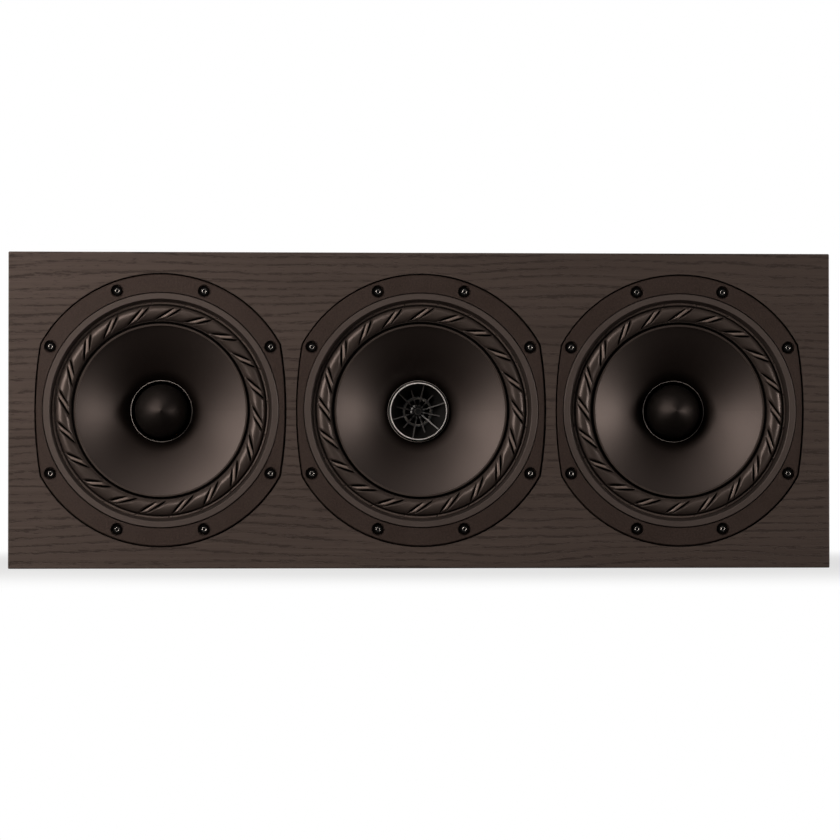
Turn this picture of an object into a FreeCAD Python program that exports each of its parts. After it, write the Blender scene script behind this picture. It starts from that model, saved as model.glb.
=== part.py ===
"""Left-centre-right loudspeaker: a sealed wood-grain cabinet with a coaxial driver between two woofers.

Millimetres. +X runs to the right and +Z up as the listener sees it, and the front faces -Y.
The origin is at the middle of the cabinet's underside.

Each driver is drawn in a frame of its own: the frame's front face is at height 0, the axis is +Z
towards the listener, and everything behind the front face has a negative height.
"""
import FreeCAD
import Part
import math
import os

from FreeCAD import Placement, Rotation, Vector

# Cabinet
CABINET_WIDTH = 680.0
CABINET_HEIGHT = 261.0
CABINET_DEPTH = 300.0
PANEL_THICKNESS = 18.0
BAFFLE_THICKNESS = 25.0
EDGE_ROUND = 1.0
BRACE_THICKNESS = 15.0
BRACE_RAIL = 32.0
BRACE_WINDOW_ROUND = 20.0
PAD_THICKNESS = 25.0
PAD_MARGIN = 8.0
CUT_OVERSHOOT = 1.0

# Driver frame: the three frames fill the cabinet's width
END_MARGIN = 22.5
FRAME_GAP = 10.0
FRAME_CUT = 19.0
FRAME_SIDE_RADIUS = 330.0
FRAME_CORNER = 5.0
FRAME_EDGE = 0.7
FLANGE_THICKNESS = 6.0
FRAME_INSET = 0.6
GASKET_THICKNESS = 1.0
REBATE_CLEARANCE = 1.2
HOLE_CLEARANCE = 0.8
SKIRT_WALL = 2.0
SEAT_DEPTH = 7.0
SEAT_THICKNESS = 3.0
SEAT_WIDTH = 10.75
BASKET_WALL = 5.0
BASKET_ARMS = 6
ARM_ANGLE = 16.0
BASE_THICKNESS = 5.0
BASE_BORE = 68.0

# Frame screws
SCREW_MARGIN = 7.5
SCREW_LEANS = (20.0, 60.0)
SCREW_SHANK = 4.8
SCREW_LENGTH = 24.0
SCREW_HEAD = 8.6
SCREW_HEAD_HEIGHT = 2.6
SCREW_SOCKET = 3.0
SCREW_SOCKET_DEPTH = 1.6
SCREW_WELL = 10.8
SCREW_WELL_DEPTH = 3.1
SCREW_CLEARANCE = 0.3
PILOT_CLEARANCE = 0.1

# Trim ring that clamps the surround's outer lip
TRIM_MARGIN = 5.0
TRIM_GAP = 0.7
TRIM_WIDTH = 6.0
TRIM_SLOPE = 2.0
TRIM_EDGE = 0.5

# Surround: a half roll with slanted ribs
ROLL_MARGIN = 16.9
ROLL_RADIUS = 6.3
SURROUND_WALL = 1.6
RIB_COUNT = 20
RIB_SLANT = 52.0
RIB_GROOVE_RADIUS = 1.15
RIB_GROOVE_DEPTH = 1.1
RIB_GROOVE_SPACING = 3.6

# Cone
CONE_EDGE_MARGIN = 9.5
CONE_RIM = 2.7
CONE_DEPTH = 39.0
CONE_BULGE = 3.4
CONE_WALL = 1.2
NECK_COLLAR = 3.0
GLUE_LINE = 0.05

# Voice coil and spider
FORMER_BORE = 50.0
FORMER_WALL = 0.3
FORMER_LIP = 2.0
FORMER_BEAD = 0.5
FORMER_BEAD_HEIGHT = 0.6
FORMER_TAIL = 1.0
WINDING_THICKNESS = 1.0
WINDING_HEIGHT = 18.0
GAP_CLEARANCE = 0.5
SPIDER_DEPTH = 57.0
SPIDER_DIAMETER = 141.0
SPIDER_LIP = 6.0
SPIDER_NECK = 3.5
SPIDER_WALL = 0.6
SPIDER_WAVES = 4
SPIDER_WAVE_HEIGHT = 3.0

# Magnet system
MOTOR_DEPTH = 76.0
TOP_PLATE_THICKNESS = 8.0
TOP_PLATE_DIAMETER = 116.0
MAGNET_THICKNESS = 20.0
MAGNET_DIAMETER = 128.0
MAGNET_BORE = 62.0
BACK_PLATE_THICKNESS = 8.0
POLE_RISE = 2.0
POLE_CHAMFER = 2.0

# Phase plug of the woofers
PLUG_DIAMETER = 45.0
PLUG_TIP_DEPTH = 18.0
PLUG_SHOULDER_DEPTH = 48.0
PLUG_TIP_RADIUS = 0.6
PLUG_FULLNESS = 0.825

# Tweeter in the coaxial driver's throat
TWEETER_DIAMETER = 48.2
TWEETER_RING_DEPTH = 40.0
TWEETER_RING_WIDTH = 1.3
TWEETER_RING_HEIGHT = 2.2
TWEETER_RING_ROUND = 0.5
TWEETER_WALL = 1.2
HORN_DEPTH = 57.0
HORN_THROAT = 25.4
DOME_DIAMETER = 21.0
DOME_RISE = 4.6
DOME_WALL = 0.4
DOME_ROLL = 0.9
DOME_COIL_HEIGHT = 5.0
DOME_CLEARANCE = 0.4
TWEETER_GAP = 0.45
TWEETER_YOKE_DIAMETER = 43.0
TWEETER_YOKE_BASE = 4.0
TWEETER_POLE_HEIGHT = 9.0
FIN_COUNT = 12
FIN_PHASE = 12.0
FIN_THICKNESS = 1.0
FIN_RISE = 3.2
FIN_SHORT_DIAMETER = 37.0
FIN_NOSE_DIAMETER = 10.4
FIN_DOME_GAP = 1.0
HUB_DIAMETER = 5.4
HUB_RISE = 1.0
HUB_SOCKET = 2.0
HUB_SOCKET_DEPTH = 0.8

# Terminal cup at the back
CUP_WIDTH = 112.0
CUP_HEIGHT = 82.0
CUP_FLANGE = 3.0
CUP_CORNER = 10.0
CUP_RIM = 13.0
CUP_DEPTH = 30.0
CUP_WALL = 2.5
CUP_DRAFT = 4.0
CUP_FIT = 0.5
CUP_SCREW_INSET = 6.5
CUP_SCREW_SHANK = 3.2
CUP_SCREW_HEAD = 6.4
CUP_SCREW_HEAD_HEIGHT = 1.8
CUP_SCREW_LENGTH = 14.0

# Binding posts
POST_PITCH = 19.0
POST_STUD = 8.0
POST_COLLAR = 12.0
POST_COLLAR_HEIGHT = 5.0
POST_LENGTH = 25.0
POST_TAIL = 14.0
POST_TAIL_DIAMETER = 6.0
POST_NUT = 10.0
POST_NUT_HEIGHT = 4.0
POST_SOCKET = 4.1
POST_SOCKET_DEPTH = 15.0
POST_WIRE_HOLE = 2.5
KNOB_DIAMETER = 13.6
KNOB_LENGTH = 13.0
KNOB_CLEARANCE = 0.1
KNOB_LIFT = 0.4
KNOB_FLUTES = 12
KNOB_FLUTE_RADIUS = 1.2
KNOB_EDGE = 0.8

# Crossover
BOARD_WIDTH = 170.0
BOARD_DEPTH = 100.0
BOARD_THICKNESS = 3.0
BOARD_SETBACK = 12.0
COIL_DIAMETER = 48.0
COIL_BORE = 24.0
COIL_HEIGHT = 22.0
CAPACITOR_DIAMETER = 26.0
CAPACITOR_LENGTH = 44.0
CAPACITOR_EDGE = 2.0

# Places that follow from the sizes above
FRONT_Y = -CABINET_DEPTH / 2
REAR_Y = CABINET_DEPTH / 2
AXIS_Z = CABINET_HEIGHT / 2
INNER_HEIGHT = CABINET_HEIGHT - 2 * PANEL_THICKNESS
INNER_WIDTH = CABINET_WIDTH - 2 * PANEL_THICKNESS
CARCASS_FRONT_Y = FRONT_Y + BAFFLE_THICKNESS
CARCASS_DEPTH = CABINET_DEPTH - BAFFLE_THICKNESS
INNER_REAR_Y = REAR_Y - PANEL_THICKNESS
INNER_DEPTH = INNER_REAR_Y - CARCASS_FRONT_Y
DRIVER_PITCH = (CABINET_WIDTH - 2 * END_MARGIN + FRAME_GAP) / 3
FRAME_WIDTH = DRIVER_PITCH - FRAME_GAP
FRAME_DIAMETER = FRAME_WIDTH + FRAME_CUT
SCREW_CIRCLE = FRAME_DIAMETER - 2 * SCREW_MARGIN
SEAT_RADIUS = FRAME_WIDTH / 2 - TRIM_MARGIN
SEAT_BORE_RADIUS = SEAT_RADIUS - SEAT_WIDTH
SKIRT_RADIUS = SEAT_RADIUS + SKIRT_WALL
HOLE_RADIUS = SKIRT_RADIUS + HOLE_CLEARANCE
LIP_BOTTOM = -SEAT_DEPTH
LIP_TOP = LIP_BOTTOM + SURROUND_WALL
TRIM_MOUTH = SEAT_RADIUS - TRIM_WIDTH
TRIM_THROAT = TRIM_MOUTH - TRIM_SLOPE
ROLL_CENTRE = SEAT_RADIUS - ROLL_MARGIN
CONE_EDGE = ROLL_CENTRE - CONE_EDGE_MARGIN
FORMER_INNER = FORMER_BORE / 2
FORMER_OUTER = FORMER_INNER + FORMER_WALL
NECK_RADIUS = FORMER_OUTER + GLUE_LINE
NECK_HEIGHT = LIP_BOTTOM - CONE_DEPTH
FORMER_TOP = NECK_HEIGHT + FORMER_LIP
WINDING_RADIUS = FORMER_OUTER + WINDING_THICKNESS
POLE_RADIUS = FORMER_INNER - GAP_CLEARANCE
PLATE_BORE_RADIUS = WINDING_RADIUS + GAP_CLEARANCE
TOP_PLATE_FRONT = -MOTOR_DEPTH
MAGNET_FRONT = TOP_PLATE_FRONT - TOP_PLATE_THICKNESS
BACK_PLATE_FRONT = MAGNET_FRONT - MAGNET_THICKNESS
POLE_FRONT = TOP_PLATE_FRONT + POLE_RISE
WINDING_MIDDLE = TOP_PLATE_FRONT - TOP_PLATE_THICKNESS / 2
SPIDER_SEAT = -SPIDER_DEPTH

DRIVER_AXIS = Vector(0, 0, 1)
DRIVERS = {
    "left": {"x": -DRIVER_PITCH, "rib_phase": 5.5},
    "centre": {"x": 0.0, "rib_phase": 1.3},
    "right": {"x": DRIVER_PITCH, "rib_phase": 1.7},
}

parts = {}


# Shared shape helpers
def section_point(radius, height):
    return Vector(radius, 0, height)


def turned(start, *steps):
    """Solid of revolution from an outline of (radius, height) points.

    A step that holds two points is an arc through the first of them to the second.
    """
    edges = []
    here = start
    for step in steps + (start,):
        if isinstance(step[0], tuple):
            through, there = step
            arc = Part.Arc(section_point(*here), section_point(*through), section_point(*there))
            edges.append(arc.toShape())
        else:
            there = step
            edges.append(Part.makeLine(section_point(*here), section_point(*there)))
        here = there
    return Part.Face(Part.Wire(edges)).revolve(Vector(), DRIVER_AXIS, 360)


def tube(outer, inner, low, high):
    return turned((inner, low), (outer, low), (outer, high), (inner, high))


def polar(radius, degrees, height=0.0):
    angle = math.radians(degrees)
    return Vector(radius * math.cos(angle), radius * math.sin(angle), height)


def hexagon(across_flats, low, high):
    corners = [polar(across_flats / math.sqrt(3), 60 * k, low) for k in range(7)]
    return Part.Face(Part.makePolygon(corners)).extrude(Vector(0, 0, high - low))


def rod(diameter, low, high, centre=Vector()):
    return Part.makeCylinder(diameter / 2, high - low, centre + Vector(0, 0, low))


def upright_edges(shape):
    """Straight edges that run along the height of a plate."""
    found = []
    for edge in shape.Edges:
        along = edge.Vertexes[-1].Point - edge.Vertexes[0].Point
        if isinstance(edge.Curve, Part.Line) and abs(along.z) > 0.99 * edge.Length:
            found.append(edge)
    return found


def box_between(low, high):
    size = high - low
    return Part.makeBox(size.x, size.y, size.z, low)


def rounded_outline(width, depth, corner, height):
    """Closed wire of a rectangle with round corners, centred on the axis."""
    plate = Part.makeBox(width, depth, corner, Vector(-width / 2, -depth / 2, height))
    rounded = plate.makeFillet(corner, upright_edges(plate))
    lowest = min(rounded.Faces, key=lambda face: face.CenterOfMass.z)
    return lowest.OuterWire


def placed(shape, placement):
    moved = shape.copy()
    moved.Placement = placement.multiply(moved.Placement)
    return moved


def at_driver(shape, driver):
    """Stands a driver's piece in the baffle with its axis towards the listener."""
    place = Vector(driver["x"], FRONT_Y + FRAME_INSET, AXIS_Z)
    return placed(shape, Placement(place, Rotation(Vector(1, 0, 0), 90)))


def at_back(shape):
    """Stands a terminal piece in the back panel: height 0 is its outer face, +Z points backwards."""
    return placed(shape, Placement(Vector(0, REAR_Y, AXIS_Z), Rotation(Vector(1, 0, 0), -90)))


# Driver frame outline: a circle whose two sides are cut by large arcs
def frame_plate(low, high, grow=0.0):
    height = high - low
    side_radius = FRAME_SIDE_RADIUS + grow
    side_centre = FRAME_SIDE_RADIUS - FRAME_WIDTH / 2
    plate = rod(FRAME_DIAMETER + 2 * grow, low, high)
    for side in (-1, 1):
        centre = Vector(side * side_centre, 0, low)
        plate = plate.common(Part.makeCylinder(side_radius, height, centre))
    corners = [edge for edge in upright_edges(plate) if abs(edge.Vertexes[0].Point.y) > FRAME_CORNER]
    return plate.makeFillet(FRAME_CORNER + grow, corners)


def screw_points(height=0.0):
    points = []
    for lean in SCREW_LEANS:
        for vertical in (90, 270):
            points.append(polar(SCREW_CIRCLE / 2, vertical - lean, height))
            points.append(polar(SCREW_CIRCLE / 2, vertical + lean, height))
    return points


def rods_at_screws(diameter, low, high):
    return [rod(diameter, low, high, point) for point in screw_points()]


# Cabinet panels
def make_baffle():
    low = Vector(-CABINET_WIDTH / 2, FRONT_Y, 0)
    baffle = box_between(low, Vector(CABINET_WIDTH / 2, CARCASS_FRONT_Y, CABINET_HEIGHT))
    seen_edges = [edge for edge in baffle.Edges if edge.CenterOfMass.y < CARCASS_FRONT_Y - EDGE_ROUND]
    baffle = baffle.makeFillet(EDGE_ROUND, seen_edges)
    rebate_floor = -FLANGE_THICKNESS - GASKET_THICKNESS
    cutter = frame_plate(rebate_floor, 2 * FRAME_INSET, REBATE_CLEARANCE)
    cutter = cutter.fuse(rod(2 * HOLE_RADIUS, -2 * BAFFLE_THICKNESS, 0))
    pilots = rods_at_screws(SCREW_SHANK + 2 * PILOT_CLEARANCE, -SCREW_LENGTH - SCREW_WELL_DEPTH, rebate_floor)
    for driver in DRIVERS.values():
        baffle = baffle.cut([at_driver(tool, driver) for tool in [cutter] + pilots])
    return baffle


def make_shelf_panel(bottom_z, rounded_z):
    """Top or bottom panel, full width, with its two long outer side edges eased."""
    low = Vector(-CABINET_WIDTH / 2, CARCASS_FRONT_Y, bottom_z)
    panel = box_between(low, Vector(CABINET_WIDTH / 2, REAR_Y, bottom_z + PANEL_THICKNESS))
    seen_edges = []
    for edge in panel.Edges:
        middle = edge.CenterOfMass
        if abs(middle.z - rounded_z) < EDGE_ROUND and middle.y > CARCASS_FRONT_Y + EDGE_ROUND:
            seen_edges.append(edge)
    return panel.makeFillet(EDGE_ROUND, seen_edges)


def make_side_panel(side):
    outer = side * CABINET_WIDTH / 2
    inner = side * INNER_WIDTH / 2
    low = Vector(min(outer, inner), CARCASS_FRONT_Y, PANEL_THICKNESS)
    panel = box_between(low, Vector(max(outer, inner), REAR_Y, CABINET_HEIGHT - PANEL_THICKNESS))
    seen_edges = []
    for edge in upright_edges(panel):
        middle = edge.CenterOfMass
        if abs(middle.x - outer) < EDGE_ROUND and middle.y > CARCASS_FRONT_Y + EDGE_ROUND:
            seen_edges.append(edge)
    return panel.makeFillet(EDGE_ROUND, seen_edges)


def cup_screw_points(height=0.0):
    across = CUP_WIDTH / 2 - CUP_SCREW_INSET
    up = CUP_HEIGHT / 2 - CUP_SCREW_INSET
    return [Vector(x, y, height) for x in (-across, across) for y in (-up, up)]


def make_rear_panel():
    low = Vector(-INNER_WIDTH / 2, INNER_REAR_Y, PANEL_THICKNESS)
    panel = box_between(low, Vector(INNER_WIDTH / 2, REAR_Y, CABINET_HEIGHT - PANEL_THICKNESS))
    rebate = rounded_outline(CUP_WIDTH + 2 * CUP_FIT, CUP_HEIGHT + 2 * CUP_FIT, CUP_CORNER + CUP_FIT, -CUP_FLANGE)
    hole_width = CUP_WIDTH - 2 * CUP_RIM + 2 * CUP_WALL + 2 * CUP_FIT
    hole_height = CUP_HEIGHT - 2 * CUP_RIM + 2 * CUP_WALL + 2 * CUP_FIT
    hole = rounded_outline(hole_width, hole_height, CUP_CORNER + CUP_FIT, -2 * PANEL_THICKNESS)
    tools = [
        Part.Face(rebate).extrude(Vector(0, 0, 2 * CUP_FLANGE)),
        Part.Face(hole).extrude(Vector(0, 0, 3 * PANEL_THICKNESS)),
    ]
    pilot = CUP_SCREW_SHANK + 2 * PILOT_CLEARANCE
    tools += [rod(pilot, -CUP_SCREW_LENGTH - CUP_FLANGE, 0, point) for point in cup_screw_points()]
    return panel.cut([at_back(tool) for tool in tools])


def make_brace(side):
    """Upright panel between two drivers, from baffle to back, with two windows for the air."""
    middle = side * DRIVER_PITCH / 2
    low = Vector(middle - BRACE_THICKNESS / 2, CARCASS_FRONT_Y, PANEL_THICKNESS)
    high = Vector(middle + BRACE_THICKNESS / 2, INNER_REAR_Y, CABINET_HEIGHT - PANEL_THICKNESS)
    brace = box_between(low, high)
    window_depth = (INNER_DEPTH - 3 * BRACE_RAIL) / 2
    window_height = INNER_HEIGHT - 2 * BRACE_RAIL
    for k in range(2):
        start_y = CARCASS_FRONT_Y + BRACE_RAIL + k * (window_depth + BRACE_RAIL)
        corner = Vector(low.x, start_y, PANEL_THICKNESS + BRACE_RAIL)
        window = Part.makeBox(BRACE_THICKNESS, window_depth, window_height, corner)
        across = [edge for edge in window.Edges if abs(edge.tangentAt(edge.FirstParameter).x) > 0.99]
        brace = brace.cut(window.makeFillet(BRACE_WINDOW_ROUND, across))
    return brace


def make_damping_pads():
    """One sheet of wadding on the back wall of each woofer's chamber."""
    chamber_start = DRIVER_PITCH / 2 + BRACE_THICKNESS / 2 + PAD_MARGIN
    chamber_end = INNER_WIDTH / 2 - PAD_MARGIN
    pads = []
    for side in (-1, 1):
        ends = sorted((side * chamber_start, side * chamber_end))
        low = Vector(ends[0], INNER_REAR_Y - PAD_THICKNESS, PANEL_THICKNESS + PAD_MARGIN)
        high = Vector(ends[1], INNER_REAR_Y, CABINET_HEIGHT - PANEL_THICKNESS - PAD_MARGIN)
        pads.append(box_between(low, high))
    return Part.makeCompound(pads)


parts["front_baffle"] = make_baffle()
parts["top_panel"] = make_shelf_panel(CABINET_HEIGHT - PANEL_THICKNESS, CABINET_HEIGHT)
parts["bottom_panel"] = make_shelf_panel(0, 0)
parts["left_panel"] = make_side_panel(-1)
parts["right_panel"] = make_side_panel(1)
parts["rear_panel"] = make_rear_panel()
parts["left_brace"] = make_brace(-1)
parts["right_brace"] = make_brace(1)
parts["damping_pads"] = make_damping_pads()


# Cast basket: the cut round flange, the surround's seat, six arms, the spider's seat and a base ring
def make_basket():
    flange = frame_plate(-FLANGE_THICKNESS, 0)
    front_edges = [edge for edge in flange.Edges if abs(edge.BoundBox.ZMin) < FRAME_EDGE / 2]
    flange = flange.makeChamfer(FRAME_EDGE, front_edges)
    flange = flange.cut(rod(2 * SEAT_RADIUS, -2 * FLANGE_THICKNESS, FLANGE_THICKNESS))
    seat_bottom = LIP_BOTTOM - SEAT_THICKNESS
    spider_radius = SPIDER_DIAMETER / 2
    lip_start = spider_radius - SPIDER_LIP
    base_front = TOP_PLATE_FRONT + BASE_THICKNESS
    base_radius = TOP_PLATE_DIAMETER / 2
    wall_top = SEAT_RADIUS - BASKET_WALL
    bowl = turned(
        (SEAT_RADIUS, -FLANGE_THICKNESS / 2),
        (SKIRT_RADIUS, -FLANGE_THICKNESS / 2),
        (SKIRT_RADIUS, seat_bottom),
        (SEAT_RADIUS, seat_bottom - SKIRT_WALL),
        (spider_radius + BASKET_WALL, SPIDER_SEAT - BASKET_WALL / 2),
        (base_radius, TOP_PLATE_FRONT),
        (BASE_BORE / 2, TOP_PLATE_FRONT),
        (BASE_BORE / 2, base_front),
        (base_radius - BASKET_WALL, base_front),
        (lip_start, SPIDER_SEAT - BASKET_WALL / 2),
        (lip_start, SPIDER_SEAT),
        (spider_radius + GLUE_LINE, SPIDER_SEAT),
        (spider_radius + GLUE_LINE, SPIDER_SEAT + SPIDER_WALL),
        (wall_top, seat_bottom),
        (SEAT_BORE_RADIUS, seat_bottom),
        (SEAT_BORE_RADIUS, LIP_BOTTOM),
        (SEAT_RADIUS, LIP_BOTTOM),
    )
    arm_pitch = 360.0 / BASKET_ARMS
    window_top = seat_bottom - BASKET_WALL
    window_bottom = SPIDER_SEAT + BASKET_WALL
    window_face = Part.Face(
        Part.makePolygon(
            [
                section_point(spider_radius - BASKET_WALL, window_bottom),
                section_point(FRAME_DIAMETER / 2, window_bottom),
                section_point(FRAME_DIAMETER / 2, window_top),
                section_point(spider_radius - BASKET_WALL, window_top),
                section_point(spider_radius - BASKET_WALL, window_bottom),
            ]
        )
    )
    window = window_face.revolve(Vector(), DRIVER_AXIS, arm_pitch - ARM_ANGLE)
    windows = []
    for k in range(BASKET_ARMS):
        turn = Rotation(DRIVER_AXIS, k * arm_pitch + ARM_ANGLE / 2)
        windows.append(placed(window, Placement(Vector(), turn)))
    holes = rods_at_screws(SCREW_SHANK + 2 * SCREW_CLEARANCE, -2 * FLANGE_THICKNESS, 0)
    wells = rods_at_screws(SCREW_WELL, -SCREW_WELL_DEPTH, FLANGE_THICKNESS)
    return flange.fuse(bowl.cut(windows)).cut(holes + wells).removeSplitter()


def make_gasket():
    gasket = frame_plate(-FLANGE_THICKNESS - GASKET_THICKNESS, -FLANGE_THICKNESS)
    hole = rod(2 * HOLE_RADIUS, -2 * FLANGE_THICKNESS, 0)
    return gasket.cut([hole] + rods_at_screws(SCREW_SHANK + 2 * SCREW_CLEARANCE, -2 * FLANGE_THICKNESS, 0))


def make_screws():
    """Button-head screws with a hexagon socket, sunk in their wells."""
    head_bottom = -SCREW_WELL_DEPTH
    head_top = head_bottom + SCREW_HEAD_HEIGHT
    shank = SCREW_SHANK / 2
    head = SCREW_HEAD / 2
    brow = (0.8 * head, head_bottom + 0.75 * SCREW_HEAD_HEIGHT)
    screw = turned(
        (0, head_bottom - SCREW_LENGTH),
        (0.5 * shank, head_bottom - SCREW_LENGTH),
        (shank, head_bottom - SCREW_LENGTH + shank),
        (shank, head_bottom),
        (head, head_bottom),
        (brow, (SCREW_SOCKET, head_top)),
        (0, head_top),
    )
    screw = screw.cut(hexagon(SCREW_SOCKET, head_top - SCREW_SOCKET_DEPTH, head_top + CUT_OVERSHOOT))
    return Part.makeCompound([placed(screw, Placement(point, Rotation())) for point in screw_points()])


def make_trim_ring():
    outer = SEAT_RADIUS - TRIM_GAP
    return turned(
        (outer, LIP_TOP),
        (outer, FRAME_INSET - TRIM_EDGE),
        (outer - TRIM_EDGE, FRAME_INSET),
        (TRIM_MOUTH + TRIM_EDGE, FRAME_INSET),
        (TRIM_MOUTH, FRAME_INSET - TRIM_EDGE),
        (TRIM_THROAT, LIP_TOP + TRIM_EDGE),
        (TRIM_THROAT, LIP_TOP),
    )


# Surround: the grooves of each slanted rib are straight cuts across the crown of the roll,
# so they are deep on the crown, run out to points on its flanks and leave a ridge between them
def make_surround():
    bore = ROLL_RADIUS - SURROUND_WALL
    foot = math.sqrt(ROLL_RADIUS**2 - SURROUND_WALL**2)
    lip_radius = SEAT_RADIUS - TRIM_GAP
    ring = turned(
        (lip_radius, LIP_BOTTOM),
        (lip_radius, LIP_TOP),
        (ROLL_CENTRE + foot, LIP_TOP),
        ((ROLL_CENTRE, LIP_BOTTOM + ROLL_RADIUS), (ROLL_CENTRE - foot, LIP_TOP)),
        (CONE_EDGE, LIP_TOP),
        (CONE_EDGE, LIP_BOTTOM),
        (ROLL_CENTRE - bore, LIP_BOTTOM),
        ((ROLL_CENTRE, LIP_BOTTOM + bore), (ROLL_CENTRE + bore, LIP_BOTTOM)),
    )
    crown = LIP_BOTTOM + ROLL_RADIUS
    groove_height = crown + RIB_GROOVE_RADIUS - RIB_GROOVE_DEPTH
    groove_length = 4 * ROLL_RADIUS
    grooves = []
    for k in range(RIB_COUNT):
        angle = 90 - k * 360.0 / RIB_COUNT
        along = polar(1, angle - RIB_SLANT)
        across = polar(1, angle - RIB_SLANT + 90)
        for side in (-0.5, 0.5):
            middle = polar(ROLL_CENTRE, angle, groove_height) + across * side * RIB_GROOVE_SPACING
            start = middle - along * groove_length / 2
            grooves.append(Part.makeCylinder(RIB_GROOVE_RADIUS, groove_length, start, along))
    return ring.cut(grooves)


def make_cone():
    """Flared paper cone with a flat rim under the surround and a short collar on the former."""
    rim = CONE_EDGE + CONE_RIM
    middle = ((CONE_EDGE + NECK_RADIUS) / 2, LIP_BOTTOM - CONE_DEPTH / 2 + CONE_BULGE)
    outer_neck = NECK_RADIUS + CONE_WALL
    return turned(
        (rim, LIP_BOTTOM),
        (CONE_EDGE, LIP_BOTTOM),
        (middle, (NECK_RADIUS, NECK_HEIGHT)),
        (NECK_RADIUS, NECK_HEIGHT - NECK_COLLAR),
        (outer_neck, NECK_HEIGHT - NECK_COLLAR),
        (outer_neck, NECK_HEIGHT - CONE_WALL),
        ((middle[0], middle[1] - CONE_WALL), (CONE_EDGE, LIP_BOTTOM - CONE_WALL)),
        (rim, LIP_BOTTOM - CONE_WALL),
    )


def make_voice_coil():
    """Former with its winding, and a bead of varnish round its front edge."""
    winding_top = WINDING_MIDDLE + WINDING_HEIGHT / 2
    winding_bottom = WINDING_MIDDLE - WINDING_HEIGHT / 2
    former_bottom = winding_bottom - FORMER_TAIL
    return turned(
        (FORMER_INNER, former_bottom),
        (FORMER_OUTER, former_bottom),
        (FORMER_OUTER, winding_bottom),
        (WINDING_RADIUS, winding_bottom),
        (WINDING_RADIUS, winding_top),
        (FORMER_OUTER, winding_top),
        (FORMER_OUTER, FORMER_TOP - FORMER_BEAD_HEIGHT),
        (FORMER_OUTER + FORMER_BEAD, FORMER_TOP - FORMER_BEAD_HEIGHT / 2),
        (FORMER_OUTER, FORMER_TOP),
        (FORMER_INNER, FORMER_TOP),
    )


def make_spider():
    """Corrugated cloth disc: arcs above and below its plane, the same wall all over."""
    inner = NECK_RADIUS
    outer = SPIDER_DIAMETER / 2
    wave_start = inner + SPIDER_NECK
    wave_end = outer - SPIDER_LIP
    half_wave = (wave_end - wave_start) / (2 * SPIDER_WAVES)
    low = SPIDER_SEAT
    high = SPIDER_SEAT + SPIDER_WALL
    upper = []
    lower = []
    for k in range(2 * SPIDER_WAVES):
        swing = SPIDER_WAVE_HEIGHT / 2 * (1 if k % 2 == 0 else -1)
        crest = wave_end - (k + 0.5) * half_wave
        foot = wave_end - (k + 1) * half_wave
        upper.append(((crest, high + swing), (foot, high)))
        lower.insert(0, ((crest, low + swing), (foot + half_wave, low)))
    steps = [(outer, high), (wave_end, high)] + upper + [(inner, high), (inner, low), (wave_start, low)] + lower
    return turned((outer, low), *steps)


# Magnet system
def make_top_plate():
    return tube(TOP_PLATE_DIAMETER / 2, PLATE_BORE_RADIUS, MAGNET_FRONT, TOP_PLATE_FRONT)


def make_magnet():
    return tube(MAGNET_DIAMETER / 2, MAGNET_BORE / 2, BACK_PLATE_FRONT, MAGNET_FRONT)


def make_yoke():
    """Back plate and pole, turned from one piece."""
    back = BACK_PLATE_FRONT - BACK_PLATE_THICKNESS
    plate_radius = TOP_PLATE_DIAMETER / 2
    return turned(
        (0, back),
        (plate_radius - POLE_CHAMFER, back),
        (plate_radius, back + POLE_CHAMFER),
        (plate_radius, BACK_PLATE_FRONT),
        (POLE_RADIUS, BACK_PLATE_FRONT),
        (POLE_RADIUS, POLE_FRONT),
        (0, POLE_FRONT),
    )


def make_phase_plug():
    """Bullet that stands on the pole: a straight foot, then an ogive to a small round tip."""
    radius = PLUG_DIAMETER / 2
    tip = -PLUG_TIP_DEPTH
    shoulder = -PLUG_SHOULDER_DEPTH
    waist = (radius * PLUG_FULLNESS, (tip + shoulder) / 2)
    nose = (PLUG_TIP_RADIUS * math.sin(math.radians(45)), tip - PLUG_TIP_RADIUS * (1 - math.cos(math.radians(45))))
    return turned(
        (0, POLE_FRONT),
        (radius, POLE_FRONT),
        (radius, shoulder),
        (waist, (PLUG_TIP_RADIUS, tip - PLUG_TIP_RADIUS)),
        (nose, (0, tip)),
    )


# Tweeter
def make_tweeter_ring():
    outer = TWEETER_DIAMETER / 2
    inner = outer - TWEETER_RING_WIDTH
    top = -TWEETER_RING_DEPTH
    bottom = top - TWEETER_RING_HEIGHT
    return turned(
        (inner, bottom),
        (outer, bottom),
        (outer, top - TWEETER_RING_ROUND),
        (outer - TWEETER_RING_ROUND, top),
        (inner + TWEETER_RING_ROUND, top),
        (inner, top - TWEETER_RING_ROUND),
    )


def horn_height(radius):
    """Height of the horn's wall, a straight flare from throat to ring."""
    mouth = TWEETER_DIAMETER / 2 - TWEETER_RING_WIDTH
    throat = HORN_THROAT / 2
    top = -TWEETER_RING_DEPTH - TWEETER_RING_HEIGHT
    return -HORN_DEPTH + (top + HORN_DEPTH) * (radius - throat) / (mouth - throat)


def make_tweeter_housing():
    """Short horn on a sleeve that stands on the coaxial driver's pole."""
    outer = TWEETER_DIAMETER / 2 - DOME_CLEARANCE
    top = -TWEETER_RING_DEPTH - TWEETER_RING_HEIGHT
    mouth = TWEETER_DIAMETER / 2 - TWEETER_RING_WIDTH
    throat = HORN_THROAT / 2
    sleeve = TWEETER_YOKE_DIAMETER / 2 + GLUE_LINE
    web = -HORN_DEPTH - TWEETER_WALL
    return turned(
        (sleeve, POLE_FRONT),
        (outer, POLE_FRONT),
        (outer, top),
        (mouth, top),
        (throat, -HORN_DEPTH),
        (throat, web),
        (sleeve, web),
    )


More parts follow.
